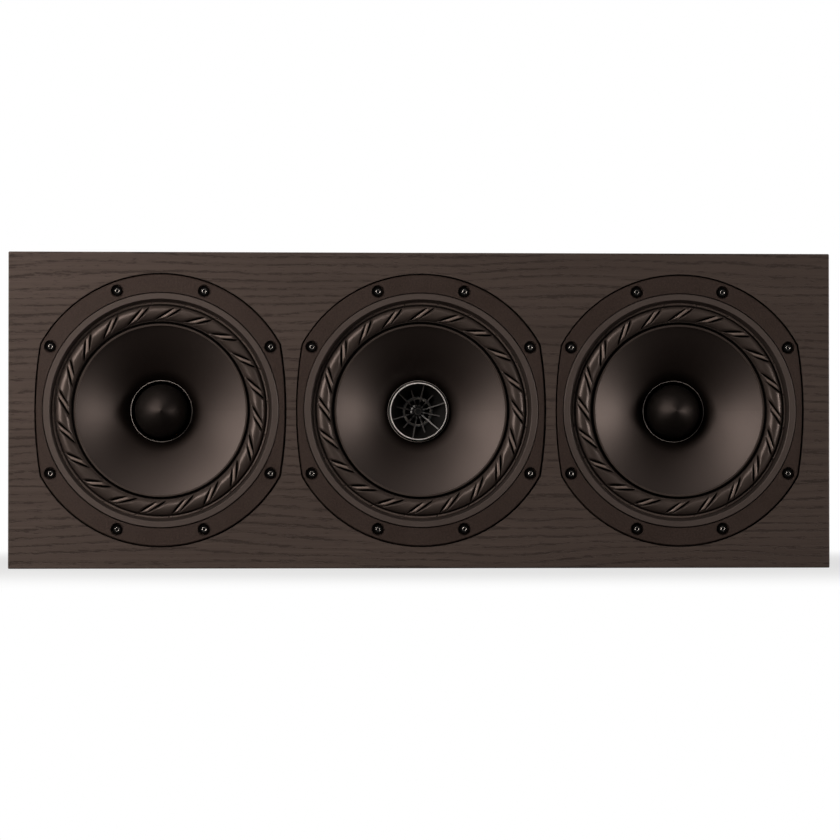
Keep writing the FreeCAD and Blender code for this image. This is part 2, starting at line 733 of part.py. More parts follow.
def dome_seat():
    """Height of the dome's edge, below the horn's throat."""
    return -HORN_DEPTH - TWEETER_WALL - DOME_CLEARANCE - DOME_WALL - DOME_ROLL


def cap_point(edge_radius, edge_height, rise):
    """Point half way out on the round of a spherical cap."""
    ball = (edge_radius**2 + rise**2) / (2 * rise)
    out = edge_radius / 2
    return (out, edge_height + rise - ball + math.sqrt(ball**2 - out**2))


def make_tweeter_dome():
    """Dome with its own small roll and the coil former under its edge."""
    edge = dome_seat()
    radius = DOME_DIAMETER / 2
    outside = cap_point(radius, edge, DOME_RISE)
    inside = cap_point(radius - DOME_WALL, edge - DOME_WALL, DOME_RISE)
    roll_end = radius + 2 * DOME_ROLL
    roll_crest = (radius + DOME_ROLL, edge + DOME_ROLL)
    return turned(
        (0, edge + DOME_RISE),
        (outside, (radius, edge)),
        (roll_crest, (roll_end, edge)),
        (roll_end, edge - DOME_WALL),
        ((roll_crest[0], roll_crest[1] - DOME_WALL), (radius, edge - DOME_WALL)),
        (radius, edge - DOME_COIL_HEIGHT),
        (radius - DOME_WALL, edge - DOME_COIL_HEIGHT),
        (radius - DOME_WALL, edge - DOME_WALL),
        (inside, (0, edge + DOME_RISE - DOME_WALL)),
    )


def make_tweeter_yoke():
    """Steel cup whose rim forms the outside of the tweeter's gap."""
    rim = dome_seat() - DOME_WALL - DOME_CLEARANCE
    outer = TWEETER_YOKE_DIAMETER / 2
    bore = DOME_DIAMETER / 2 + TWEETER_GAP
    return turned(
        (0, POLE_FRONT),
        (outer, POLE_FRONT),
        (outer, rim),
        (bore, rim),
        (bore, POLE_FRONT + TWEETER_YOKE_BASE),
        (0, POLE_FRONT + TWEETER_YOKE_BASE),
    )


def make_tweeter_magnet():
    """Disc magnet in the cup, with its pole cap."""
    radius = DOME_DIAMETER / 2 - DOME_WALL - TWEETER_GAP
    bottom = POLE_FRONT + TWEETER_YOKE_BASE
    top = min(bottom + TWEETER_POLE_HEIGHT, dome_seat() - DOME_CLEARANCE)
    return rod(2 * radius, bottom, top)


def make_tweeter_fins():
    """Phase plug: radial fins, long and short by turns, that meet at a small hub before the dome."""
    half = FIN_THICKNESS / 2
    mouth = math.sqrt((TWEETER_DIAMETER / 2 - TWEETER_RING_WIDTH) ** 2 - half**2)
    throat = HORN_THROAT / 2
    floor = dome_seat() + DOME_RISE + FIN_DOME_GAP
    nose = FIN_NOSE_DIAMETER / 2
    hub_top = floor + FIN_RISE + HUB_RISE
    hub = rod(HUB_DIAMETER, floor, hub_top)
    hub = hub.cut(hexagon(HUB_SOCKET, hub_top - HUB_SOCKET_DEPTH, hub_top + CUT_OVERSHOOT))
    plug = hub
    for k in range(FIN_COUNT):
        reach = mouth if k % 2 == 0 else FIN_SHORT_DIAMETER / 2
        seat = horn_height(math.hypot(reach, half))
        outline = [
            (0, floor),
            (throat, floor),
            (throat, horn_height(math.hypot(throat, half))),
            (reach, seat),
            (reach, max(seat, floor + FIN_RISE)),
            (nose, floor + FIN_RISE),
            (0, floor + FIN_RISE / 2),
            (0, floor),
        ]
        corners = [Vector(radius, -half, height) for radius, height in outline]
        fin = Part.Face(Part.makePolygon(corners)).extrude(Vector(0, FIN_THICKNESS, 0))
        turn = Rotation(DRIVER_AXIS, 90 - FIN_PHASE - k * 360.0 / FIN_COUNT)
        plug = plug.fuse(placed(fin, Placement(Vector(), turn)))
    return plug.removeSplitter()


DRIVER_PIECES = {
    "basket": make_basket(),
    "gasket": make_gasket(),
    "screws": make_screws(),
    "trim_ring": make_trim_ring(),
    "surround": make_surround(),
    "cone": make_cone(),
    "voice_coil": make_voice_coil(),
    "spider": make_spider(),
    "top_plate": make_top_plate(),
    "magnet": make_magnet(),
    "yoke": make_yoke(),
}
for side, driver in DRIVERS.items():
    for piece, shape in DRIVER_PIECES.items():
        if piece == "surround":
            shape = placed(shape, Placement(Vector(), Rotation(DRIVER_AXIS, -driver["rib_phase"])))
        parts[f"{side}_{piece}"] = at_driver(shape, driver)

phase_plug = make_phase_plug()
for side in ("left", "right"):
    parts[f"{side}_phase_plug"] = at_driver(phase_plug, DRIVERS[side])

TWEETER_PIECES = {
    "tweeter_ring": make_tweeter_ring(),
    "tweeter_housing": make_tweeter_housing(),
    "tweeter_dome": make_tweeter_dome(),
    "tweeter_yoke": make_tweeter_yoke(),
    "tweeter_magnet": make_tweeter_magnet(),
    "tweeter_fins": make_tweeter_fins(),
}
for piece, shape in TWEETER_PIECES.items():
    parts[piece] = at_driver(shape, DRIVERS["centre"])


# Terminal cup and binding posts
def make_terminal_cup():
    """Moulded dish with drafted walls, let into the back panel."""
    mouth_width = CUP_WIDTH - 2 * CUP_RIM
    mouth_height = CUP_HEIGHT - 2 * CUP_RIM
    flange = rounded_outline(CUP_WIDTH, CUP_HEIGHT, CUP_CORNER, -CUP_FLANGE)
    flange = Part.Face(flange).extrude(Vector(0, 0, CUP_FLANGE))

    def dish(grow, top, bottom):
        wires = []
        for height, draft in ((top, 0.0), (bottom, CUP_DRAFT)):
            width = mouth_width + 2 * grow - 2 * draft
            depth = mouth_height + 2 * grow - 2 * draft
            wires.append(rounded_outline(width, depth, CUP_CORNER - draft / 2, height))
        return Part.makeLoft(wires, True)

    cup = flange.fuse(dish(CUP_WALL, -CUP_FLANGE, -CUP_DEPTH - CUP_WALL)).cut(dish(0, 0, -CUP_DEPTH))
    hole = CUP_SCREW_SHANK + 2 * SCREW_CLEARANCE
    well = CUP_SCREW_HEAD + 2 * SCREW_CLEARANCE
    tail = POST_TAIL_DIAMETER + 2 * SCREW_CLEARANCE
    tools = [rod(hole, -2 * CUP_FLANGE, CUT_OVERSHOOT, point) for point in cup_screw_points()]
    tools += [rod(well, -CUP_SCREW_HEAD_HEIGHT, CUT_OVERSHOOT, point) for point in cup_screw_points()]
    tools += [rod(tail, -2 * CUP_DEPTH, 0, point) for point in post_points()]
    return cup.cut(tools)


def post_points(height=0.0):
    return [Vector(side * POST_PITCH / 2, 0, height) for side in (-1, 1)]


def make_cup_screws():
    screw = rod(CUP_SCREW_SHANK, -CUP_SCREW_HEAD_HEIGHT - CUP_SCREW_LENGTH + CUP_FLANGE, -CUP_SCREW_HEAD_HEIGHT)
    head = rod(CUP_SCREW_HEAD, -CUP_SCREW_HEAD_HEIGHT, 0)
    slot_width = CUP_SCREW_HEAD / 6
    slot = Part.makeBox(CUP_SCREW_HEAD, slot_width, CUP_SCREW_HEAD_HEIGHT)
    slot.translate(Vector(-CUP_SCREW_HEAD / 2, -slot_width / 2, -CUP_SCREW_HEAD_HEIGHT / 2))
    screw = screw.fuse(head).cut(slot)
    return Part.makeCompound([placed(screw, Placement(point, Rotation())) for point in cup_screw_points()])


def make_binding_posts():
    """Turned studs with a plug socket in the end, a wire hole above the collar and a nut behind the cup."""
    floor = -CUP_DEPTH
    collar_top = floor + POST_COLLAR_HEIGHT
    top = floor + POST_LENGTH
    back = floor - CUP_WALL
    post = rod(POST_STUD, collar_top, top)
    post = post.fuse(rod(POST_COLLAR, floor, collar_top))
    post = post.fuse(rod(POST_TAIL_DIAMETER, back - POST_TAIL, floor))
    post = post.fuse(hexagon(POST_NUT, back - POST_NUT_HEIGHT, back))
    post = post.cut(rod(POST_SOCKET, top - POST_SOCKET_DEPTH, top + CUT_OVERSHOOT))
    wire_height = (collar_top + top - POST_SOCKET_DEPTH) / 2
    wire_start = Vector(0, -POST_STUD, wire_height)
    post = post.cut(Part.makeCylinder(POST_WIRE_HOLE / 2, 2 * POST_STUD, wire_start, Vector(0, 1, 0)))
    post = post.removeSplitter()
    return Part.makeCompound([placed(post, Placement(point, Rotation())) for point in post_points()])


def make_knob():
    """Fluted clamping knob, open at its end for the plug."""
    top = -CUP_DEPTH + POST_LENGTH - KNOB_LIFT
    bottom = top - KNOB_LENGTH
    outer = KNOB_DIAMETER / 2
    bore = POST_STUD / 2 + KNOB_CLEARANCE
    knob = turned(
        (bore, bottom),
        (outer - KNOB_EDGE, bottom),
        (outer, bottom + KNOB_EDGE),
        (outer, top - KNOB_EDGE),
        (outer - KNOB_EDGE, top),
        (bore, top),
    )
    flutes = []
    for k in range(KNOB_FLUTES):
        middle = polar(outer + KNOB_FLUTE_RADIUS / 2, k * 360.0 / KNOB_FLUTES)
        flutes.append(rod(2 * KNOB_FLUTE_RADIUS, bottom + 2 * KNOB_EDGE, top + CUT_OVERSHOOT, middle))
    return knob.cut(flutes)


parts["terminal_cup"] = at_back(make_terminal_cup())
parts["cup_screws"] = at_back(make_cup_screws())
parts["binding_posts"] = at_back(make_binding_posts())
knob = make_knob()
for colour, point in zip(("red", "black"), post_points()):
    parts[f"{colour}_knob"] = at_back(placed(knob, Placement(point, Rotation())))


# Crossover on the cabinet's floor behind the coaxial driver
BOARD_REAR_Y = INNER_REAR_Y - CUP_DEPTH + PANEL_THICKNESS - BOARD_SETBACK
BOARD_TOP_Z = PANEL_THICKNESS + BOARD_THICKNESS


def on_board(across, back):
    """Point on the board's top, by its share of the width and depth from the middle."""
    middle_y = BOARD_REAR_Y - BOARD_DEPTH / 2
    return Vector(across * BOARD_WIDTH / 2, middle_y + back * BOARD_DEPTH / 2, BOARD_TOP_Z)


def make_board():
    low = Vector(-BOARD_WIDTH / 2, BOARD_REAR_Y - BOARD_DEPTH, PANEL_THICKNESS)
    return box_between(low, Vector(BOARD_WIDTH / 2, BOARD_REAR_Y, BOARD_TOP_Z))


def make_coils():
    coil = tube(COIL_DIAMETER / 2, COIL_BORE / 2, 0, COIL_HEIGHT)
    spots = [on_board(-0.65, -0.42), on_board(0.0, -0.42), on_board(0.65, -0.42)]
    return Part.makeCompound([placed(coil, Placement(spot, Rotation())) for spot in spots])


def make_capacitors():
    """Film capacitors that lie across the board."""
    body = rod(CAPACITOR_DIAMETER, -CAPACITOR_LENGTH / 2, CAPACITOR_LENGTH / 2)
    body = body.makeFillet(CAPACITOR_EDGE, [edge for edge in body.Edges if isinstance(edge.Curve, Part.Circle)])
    lying = Rotation(Vector(0, 1, 0), 90)
    lift = Vector(0, 0, CAPACITOR_DIAMETER / 2)
    spots = [on_board(-0.65, 0.6), on_board(0.0, 0.6), on_board(0.65, 0.6)]
    return Part.makeCompound([placed(body, Placement(spot + lift, lying)) for spot in spots])


parts["crossover_board"] = make_board()
parts["crossover_coils"] = make_coils()
parts["crossover_capacitors"] = make_capacitors()

os.makedirs("parts", exist_ok=True)
for name, shape in parts.items():
    shape.exportStep(f"parts/{name}.step")
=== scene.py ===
import math

import bmesh
import bpy
import numpy as np
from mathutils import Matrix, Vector, noise


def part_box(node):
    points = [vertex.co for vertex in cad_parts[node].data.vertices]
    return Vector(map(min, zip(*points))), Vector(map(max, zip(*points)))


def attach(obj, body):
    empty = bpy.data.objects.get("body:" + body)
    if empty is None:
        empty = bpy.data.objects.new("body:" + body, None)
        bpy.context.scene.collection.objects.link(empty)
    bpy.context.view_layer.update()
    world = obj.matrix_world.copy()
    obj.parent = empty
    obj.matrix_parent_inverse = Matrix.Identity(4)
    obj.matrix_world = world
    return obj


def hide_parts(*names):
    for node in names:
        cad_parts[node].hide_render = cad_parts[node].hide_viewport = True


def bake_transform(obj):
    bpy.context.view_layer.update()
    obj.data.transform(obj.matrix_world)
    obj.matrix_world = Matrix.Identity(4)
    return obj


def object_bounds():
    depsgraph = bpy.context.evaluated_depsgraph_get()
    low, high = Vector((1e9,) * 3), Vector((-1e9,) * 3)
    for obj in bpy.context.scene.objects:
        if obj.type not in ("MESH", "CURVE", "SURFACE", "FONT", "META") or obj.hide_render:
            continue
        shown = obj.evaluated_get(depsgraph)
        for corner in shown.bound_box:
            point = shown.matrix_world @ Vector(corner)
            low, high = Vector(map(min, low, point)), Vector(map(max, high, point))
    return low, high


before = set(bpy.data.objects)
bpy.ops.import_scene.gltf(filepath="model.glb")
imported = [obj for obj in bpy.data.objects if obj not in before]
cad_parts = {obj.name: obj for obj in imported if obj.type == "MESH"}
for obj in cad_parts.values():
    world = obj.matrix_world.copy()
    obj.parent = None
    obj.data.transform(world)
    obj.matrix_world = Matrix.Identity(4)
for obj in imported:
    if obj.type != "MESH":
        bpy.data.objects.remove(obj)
cad_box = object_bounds()


# Cabinet panels: fibreboard faced with a dark-stained ash veneer and glued edge to edge.
# The grain runs along the long panels and upright on the two ends. Rows of open pores show through
# a thin satin lacquer, and the routed walls of the driver holes are painted black.
VENEER_DARK = (0.034, 0.0245, 0.0205, 1)
VENEER_LIGHT = (0.083, 0.0625, 0.054, 1)
PORE_COLOUR = (0.013, 0.0090, 0.0075, 1)
ROUTED_BLACK = (0.004, 0.0035, 0.003, 1)
WARM_SHEEN = {"Specular Tint": (1.0, 0.82, 0.76, 1)}
RING_SPACING = 0.0073
RING_DRIFT = 0.042
DRIFT_STRETCH = (3.0, 12, 12)
EARLY_WOOD = (0.22, 0.46)
PATCH_STRETCH = (9, 60, 60)
PATCH_RANGE = (0.36, 0.60)
PORE_STRETCH = (130, 1050, 1050)
PORE_RANGE = (0.56, 0.74)
PORE_CROWDING = (0.12, 0.09)
PORE_SHARE = 0.66
PORE_BUMP = 0.00012
STREAK_STRETCH = (5, 420, 420)
CLOUD_STRETCH = (3, 22, 22)
VENEER_ROUGH = 0.5
PORE_ROUGH = 0.2
ROUTED_ROUGH = 0.3
END_FACE = 0.7
FACE_SKIN = 0.0005
EDGE_MARGIN = 0.004


def add(tree, kind, *values, **settings):
    """Adds a node, fills its first inputs with values or links, and gives back its first output."""
    node = tree.nodes.new("ShaderNode" + kind)
    for name, value in settings.items():
        setattr(node, name, value)
    for socket, value in zip(node.inputs, values):
        if isinstance(value, bpy.types.NodeSocket):
            tree.links.new(value, socket)
        elif value is not None:
            socket.default_value = value
    return node.outputs[0] if node.outputs else None


def calc(tree, operation, *values):
    return add(tree, "Math", *values, operation=operation)


def where(tree):
    """A point's place on the part, in metres."""
    return add(tree, "TexCoord").node.outputs["Object"]


def stretch(tree, place, scale, turn=(0, 0, 0)):
    return add(tree, "Mapping", place, (0, 0, 0), turn, scale)


def speckle(tree, place, scale=1.0, detail=2.0, roughness=0.5):
    return add(tree, "TexNoise", place, None, scale, detail, roughness)


def fade(tree, value, low, high, start=0.0, end=1.0):
    """Runs smoothly from start to end while the value goes from low to high."""
    return add(tree, "MapRange", value, low, high, start, end, interpolation_type="SMOOTHSTEP")


def mix(tree, share, first, second):
    node = tree.nodes.new("ShaderNodeMix")
    node.data_type = "RGBA"
    for socket, value in zip((node.inputs[0], node.inputs[6], node.inputs[7]), (share, first, second)):
        if isinstance(value, bpy.types.NodeSocket):
            tree.links.new(value, socket)
        else:
            socket.default_value = value
    return node.outputs[2]


def new_finish(name, **plain):
    """A material whose plain values are set on the shader's own sockets."""
    made = bpy.data.materials.new(name)
    made.use_nodes = True
    shader = made.node_tree.nodes["Principled BSDF"]
    for socket, value in plain.items():
        shader.inputs[socket].default_value = value
    return made, made.node_tree, shader


def feed(tree, shader, **sources):
    for socket, source in sources.items():
        tree.links.new(source, shader.inputs[socket.replace("_", " ")])


def bumped(tree, shader, height, distance):
    node = add(tree, "Bump", 1.0, distance).node
    tree.links.new(height, node.inputs["Height"])
    tree.links.new(node.outputs[0], shader.inputs["Normal"])


def new_group(name, inputs, outputs):
    """An effect that several finishes share. Returns its tree, its inputs and its outputs."""
    tree = bpy.data.node_groups.new(name, "ShaderNodeTree")
    for socket, kind in inputs.items():
        tree.interface.new_socket(socket, in_out="INPUT", socket_type="NodeSocket" + kind)
    for socket, kind in outputs.items():
        tree.interface.new_socket(socket, in_out="OUTPUT", socket_type="NodeSocket" + kind)
    return tree, tree.nodes.new("NodeGroupInput").outputs, tree.nodes.new("NodeGroupOutput").inputs


def use_group(tree, group, **values):
    node = tree.nodes.new("ShaderNodeGroup")
    node.node_tree = group
    for name, value in values.items():
        if isinstance(value, bpy.types.NodeSocket):
            tree.links.new(value, node.inputs[name])
        else:
            node.inputs[name].default_value = value
    return node.outputs


def dress(material, *names):
    """Gives CAD pieces their finish."""
    for name in names:
        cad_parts[name].data.materials.clear()
        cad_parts[name].data.materials.append(material)


grain, grain_in, grain_out = new_group(
    "ash_grain", {"Place": "Vector"}, {"Tone": "Float", "Pores": "Float", "Height": "Float"}
)
drift = speckle(grain, stretch(grain, grain_in["Place"], DRIFT_STRETCH), detail=3)
across = add(grain, "SeparateXYZ", grain_in["Place"]).node.outputs
shift = calc(grain, "MULTIPLY_ADD", drift, RING_DRIFT, calc(grain, "ADD", across["Y"], across["Z"]))
ring = calc(grain, "PINGPONG", calc(grain, "DIVIDE", shift, RING_SPACING), 0.5)
early_wood = fade(grain, ring, *EARLY_WOOD)
patches = speckle(grain, stretch(grain, grain_in["Place"], PATCH_STRETCH), detail=2)
patches = fade(grain, patches, *PATCH_RANGE)
crowding = calc(grain, "MULTIPLY", early_wood, calc(grain, "MULTIPLY_ADD", patches, *PORE_CROWDING))
dashes = speckle(grain, stretch(grain, grain_in["Place"], PORE_STRETCH), detail=3, roughness=0.65)
ring_pores = fade(grain, calc(grain, "ADD", dashes, crowding), *PORE_RANGE)
streaks = speckle(grain, stretch(grain, grain_in["Place"], STREAK_STRETCH), detail=4, roughness=0.65)
cloud = speckle(grain, stretch(grain, grain_in["Place"], CLOUD_STRETCH), detail=2)
tone = calc(grain, "MULTIPLY_ADD", streaks, 0.95, calc(grain, "MULTIPLY_ADD", cloud, 0.5, -0.2))
tone = calc(grain, "MULTIPLY_ADD", early_wood, -0.14, tone)
grain.links.new(tone, grain_out["Tone"])
grain.links.new(ring_pores, grain_out["Pores"])
grain.links.new(calc(grain, "MULTIPLY_ADD", ring_pores, -1.0, streaks), grain_out["Height"])


def veneer(name, upright=False, routed=False):
    """Veneer with its grain along X, or upright on the ends. Routed walls are painted black."""
    made, tree, shader = new_finish(name, IOR=1.45, **WARM_SHEEN)
    place = where(tree)
    standing = stretch(tree, place, (1, 1, 1), (0, math.radians(90), 0))
    facing = add(tree, "SeparateXYZ", add(tree, "TexCoord").node.outputs["Normal"]).node.outputs["X"]
    end_face = calc(tree, "GREATER_THAN", calc(tree, "ABSOLUTE", facing), END_FACE)
    lying = mix(tree, end_face, place, standing)
    found = use_group(tree, grain, Place=standing if upright else lying)
    colour = mix(tree, found["Tone"], VENEER_DARK, VENEER_LIGHT)
    colour = mix(tree, calc(tree, "MULTIPLY", found["Pores"], PORE_SHARE), colour, PORE_COLOUR)
    rough = calc(tree, "MULTIPLY_ADD", found["Pores"], PORE_ROUGH, VENEER_ROUGH)
    if routed:
        low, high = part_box("front_baffle")
        axes = add(tree, "SeparateXYZ", place).node.outputs
        inside = calc(tree, "GREATER_THAN", axes["Y"], low.y + FACE_SKIN)
        for axis in "XZ":
            index = "XYZ".index(axis)
            middle = (low[index] + high[index]) / 2
            reach = (high[index] - low[index]) / 2 - EDGE_MARGIN
            offset = calc(tree, "ABSOLUTE", calc(tree, "SUBTRACT", axes[axis], middle))
            inside = calc(tree, "MULTIPLY", inside, calc(tree, "LESS_THAN", offset, reach))
        colour = mix(tree, inside, colour, ROUTED_BLACK)
        rough = calc(tree, "MULTIPLY_ADD", inside, ROUTED_ROUGH, rough)
    feed(tree, shader, Base_Color=colour, Roughness=rough)
    bumped(tree, shader, found["Height"], PORE_BUMP)
    return made


dress(veneer("veneer_baffle", routed=True), "front_baffle")
dress(veneer("veneer_long"), "top_panel", "bottom_panel", "rear_panel")
dress(veneer("veneer_ends", upright=True), "left_panel", "right_panel")


# Braces: two upright boards of bare fibreboard, glued in between the drivers to stiffen the box.
# Fibreboard is a fine even felt of brown fibres, pressed flat and left unpainted inside the box.
BOARD_DARK = (0.17, 0.105, 0.055, 1)
BOARD_LIGHT = (0.34, 0.235, 0.14, 1)
BOARD_FIBRES = 900
FIBRE_BUMP = 0.0002
board, tree, shader = new_finish("bare_fibreboard", Roughness=0.85)
fibres = speckle(tree, where(tree), BOARD_FIBRES, 4, 0.7)
feed(tree, shader, Base_Color=mix(tree, fibres, BOARD_DARK, BOARD_LIGHT))
bumped(tree, shader, fibres, FIBRE_BUMP)
dress(board, "left_brace", "right_brace")


# Wadding: a sheet of polyester fleece glued to the back wall of each outer chamber.
# It is soft and lofty, so its edges are round, its face is uneven and its fibres catch the light.
PAD_EDGE = 0.010
PAD_CUTS = 23
FLEECE_BILLOW = 0.0035
BILLOW_SCALE = 40
FLEECE_DARK = (0.5, 0.5, 0.48, 1)
FLEECE_LIGHT = (0.8, 0.8, 0.78, 1)
TUFT_SCALE = 260
TUFT_BUMP = 0.002


def fleece_block(mesh, low, high):
    """Adds a soft block that fills a box, with round edges and a billowed face."""
    before = set(mesh.verts)
    block = bmesh.ops.create_cube(mesh, size=1.0)["verts"]
    edges = {edge for corner in block for edge in corner.link_edges}
    bmesh.ops.subdivide_edges(mesh, edges=list(edges), cuts=PAD_CUTS, use_grid_fill=True)
    middle = (low + high) / 2
    half = (high - low) / 2
    core = half - Vector((PAD_EDGE,) * 3)
    for corner in set(mesh.verts) - before:
        place = Vector(2 * along * size for along, size in zip(corner.co, half))
        kept = Vector(max(-limit, min(limit, along)) for along, limit in zip(place, core))
        rounded = kept + (place - kept).normalized() * PAD_EDGE
        billow = noise.noise((middle + rounded) * BILLOW_SCALE) * FLEECE_BILLOW - FLEECE_BILLOW
        if rounded.y < 0:
            rounded.y -= billow
        corner.co = middle + rounded


fleece = bmesh.new()
pads_low, pads_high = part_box("damping_pads")
pads_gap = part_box("right_brace")[1].x + (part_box("right_panel")[0].x - pads_high.x)
fleece_block(fleece, pads_low, Vector((-pads_gap, pads_high.y, pads_high.z)))
fleece_block(fleece, Vector((pads_gap, pads_low.y, pads_low.z)), pads_high)
wadding_mesh = bpy.data.meshes.new("wadding")
fleece.to_mesh(wadding_mesh)
fleece.free()
wadding_mesh.shade_smooth()
wadding = bpy.data.objects.new("wadding", wadding_mesh)
bpy.context.scene.collection.objects.link(wadding)
wool, tree, shader = new_finish("white_fleece", Roughness=1.0, **{"Sheen Weight": 0.6})
tufts = speckle(tree, where(tree), TUFT_SCALE, 6, 0.7)
feed(tree, shader, Base_Color=mix(tree, tufts, FLEECE_DARK, FLEECE_LIGHT))
bumped(tree, shader, tufts, TUFT_BUMP)
wadding_mesh.materials.append(wool)
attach(wadding, "cabinet")
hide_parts("damping_pads")


# Crossover: a hardboard panel glued to the floor behind the centre driver.
# It carries three air-core coils wound from enamelled copper and three film capacitors dipped in resin.
HARDBOARD_DARK = (0.07, 0.04, 0.02, 1)
HARDBOARD_LIGHT = (0.17, 0.105, 0.06, 1)
HARDBOARD_FIBRES = 700
COPPER_DARK = (0.55, 0.2, 0.08, 1)
COPPER_LIGHT = (0.78, 0.34, 0.15, 1)
COPPER_ROUGH = (0.22, 0.4)
PATINA_SCALE = 140
WIRE_PITCH = 0.0012
WIRE_BUMP = 0.0004
RESIN_DARK = (0.30, 0.055, 0.02, 1)
RESIN_LIGHT = (0.40, 0.085, 0.03, 1)
RESIN_ROUGH = (0.25, 0.4)
RESIN_FLOW = 60
RESIN_BUMP = 0.0006
MOTTLE_RANGE = (0.3, 0.7)
hardboard, tree, shader = new_finish("hardboard", Roughness=0.6)
fibres = speckle(tree, where(tree), HARDBOARD_FIBRES, 4, 0.7)
feed(tree, shader, Base_Color=mix(tree, fibres, HARDBOARD_DARK, HARDBOARD_LIGHT))
bumped(tree, shader, fibres, FIBRE_BUMP)
dress(hardboard, "crossover_board")

copper, tree, shader = new_finish("enamelled_copper", Metallic=1.0)
height = add(tree, "SeparateXYZ", where(tree)).node.outputs["Z"]
turns = calc(tree, "SINE", calc(tree, "MULTIPLY", height, math.tau / WIRE_PITCH))
patina = speckle(tree, where(tree), PATINA_SCALE, 3)
feed(tree, shader, Base_Color=mix(tree, patina, COPPER_DARK, COPPER_LIGHT))
feed(tree, shader, Roughness=fade(tree, patina, *MOTTLE_RANGE, *COPPER_ROUGH))
bumped(tree, shader, turns, WIRE_BUMP)
dress(copper, "crossover_coils")

resin, tree, shader = new_finish("dipped_resin", IOR=1.5)
flow = speckle(tree, where(tree), RESIN_FLOW, 3)
feed(tree, shader, Base_Color=mix(tree, flow, RESIN_DARK, RESIN_LIGHT))
feed(tree, shader, Roughness=fade(tree, flow, *MOTTLE_RANGE, *RESIN_ROUGH))
bumped(tree, shader, flow, RESIN_BUMP)
dress(resin, "crossover_capacitors")


# Terminal cup: a black moulded dish let into the back panel and held by four slotted screws.
# The moulding has a fine spark-eroded grain. Inside stand two turned and gilded posts, each with a fluted
# clamping knob, one red and one black.
MOULDED_BLACK = (0.010, 0.010, 0.010, 1)
CUP_LIGHT = (0.022, 0.022, 0.022, 1)
CUP_GRAIN = 2200
CUP_BUMP = 0.00012
CUP_ROUGH = 0.2
KNOB_BLACK = (0.02, 0.02, 0.02, 1)
RED_DARK = (0.33, 0.010, 0.008, 1)
RED_LIGHT = (0.46, 0.020, 0.014, 1)
KNOB_GRAIN = 1600
KNOB_BUMP = 0.00005
KNOB_ROUGH = 0.06
GILT_DARK = (0.75, 0.5, 0.17, 1)
GILT_LIGHT = (0.95, 0.68, 0.28, 1)
GILT_ROUGH = (0.16, 0.3)
SCREW_DARK = (0.02, 0.02, 0.02, 1)
SCREW_LIGHT = (0.05, 0.048, 0.045, 1)
SCREW_ROUGH = (0.3, 0.45)
TOOL_LINE = 0.0006
TOOL_BUMP = 0.00001
SMEAR_SCALE = 220
RUB_SCALE = 45
RUB_ROUGH = 0.3
PEBBLE_ROUGH = 0.25
moulding, moulding_in, moulding_out = new_group(
    "moulded_grain", {"Place": "Vector", "Grain": "Float"}, {"Grain": "Float", "Rough": "Float"}
)
pebbles = speckle(moulding, moulding_in["Place"], moulding_in["Grain"], 3, 0.6)
rubbed_and_unshaded = calc(moulding, "MULTIPLY", speckle(moulding, moulding_in["Place"], RUB_SCALE, 2), RUB_ROUGH)
moulding.links.new(pebbles, moulding_out["Grain"])
moulding.links.new(calc(moulding, "MULTIPLY_ADD", pebbles, PEBBLE_ROUGH, rubbed_and_unshaded), moulding_out["Rough"])


def moulded(name, dark, light, grain_scale, depth, rough_base, **plain):
    """Moulded plastic or paint with a fine even grain."""
    made, tree, shader = new_finish(name, **plain)
    found = use_group(tree, moulding, Place=where(tree), Grain=grain_scale)
    feed(tree, shader, Base_Color=mix(tree, found["Grain"], dark, light))
    feed(tree, shader, Roughness=calc(tree, "ADD", found["Rough"], rough_base))
    bumped(tree, shader, found["Grain"], depth)
    return made


dress(moulded("cup_moulding", MOULDED_BLACK, CUP_LIGHT, CUP_GRAIN, CUP_BUMP, CUP_ROUGH), "terminal_cup")
dress(moulded("red_moulding", RED_DARK, RED_LIGHT, KNOB_GRAIN, KNOB_BUMP, KNOB_ROUGH), "red_knob")
dress(moulded("black_moulding", MOULDED_BLACK, KNOB_BLACK, KNOB_GRAIN, KNOB_BUMP, KNOB_ROUGH), "black_knob")


def turned_metal(name, dark, light, rough):
    """Bright metal with fine tool lines along its axis, which lies along Y."""
    made, tree, shader = new_finish(name, Metallic=1.0)
    axis = add(tree, "SeparateXYZ", where(tree)).node.outputs["Y"]
    smear = speckle(tree, where(tree), SMEAR_SCALE, 3)
    lines = calc(tree, "MULTIPLY_ADD", smear, 2.0, calc(tree, "MULTIPLY", axis, math.tau / TOOL_LINE))
    feed(tree, shader, Base_Color=mix(tree, smear, dark, light))
    feed(tree, shader, Roughness=fade(tree, smear, *MOTTLE_RANGE, *rough))
    bumped(tree, shader, calc(tree, "SINE", lines), TOOL_BUMP)
    return made


dress(turned_metal("gilded_brass", GILT_DARK, GILT_LIGHT, GILT_ROUGH), "binding_posts")
dress(turned_metal("blacked_screw", SCREW_DARK, SCREW_LIGHT, SCREW_ROUGH), "cup_screws")


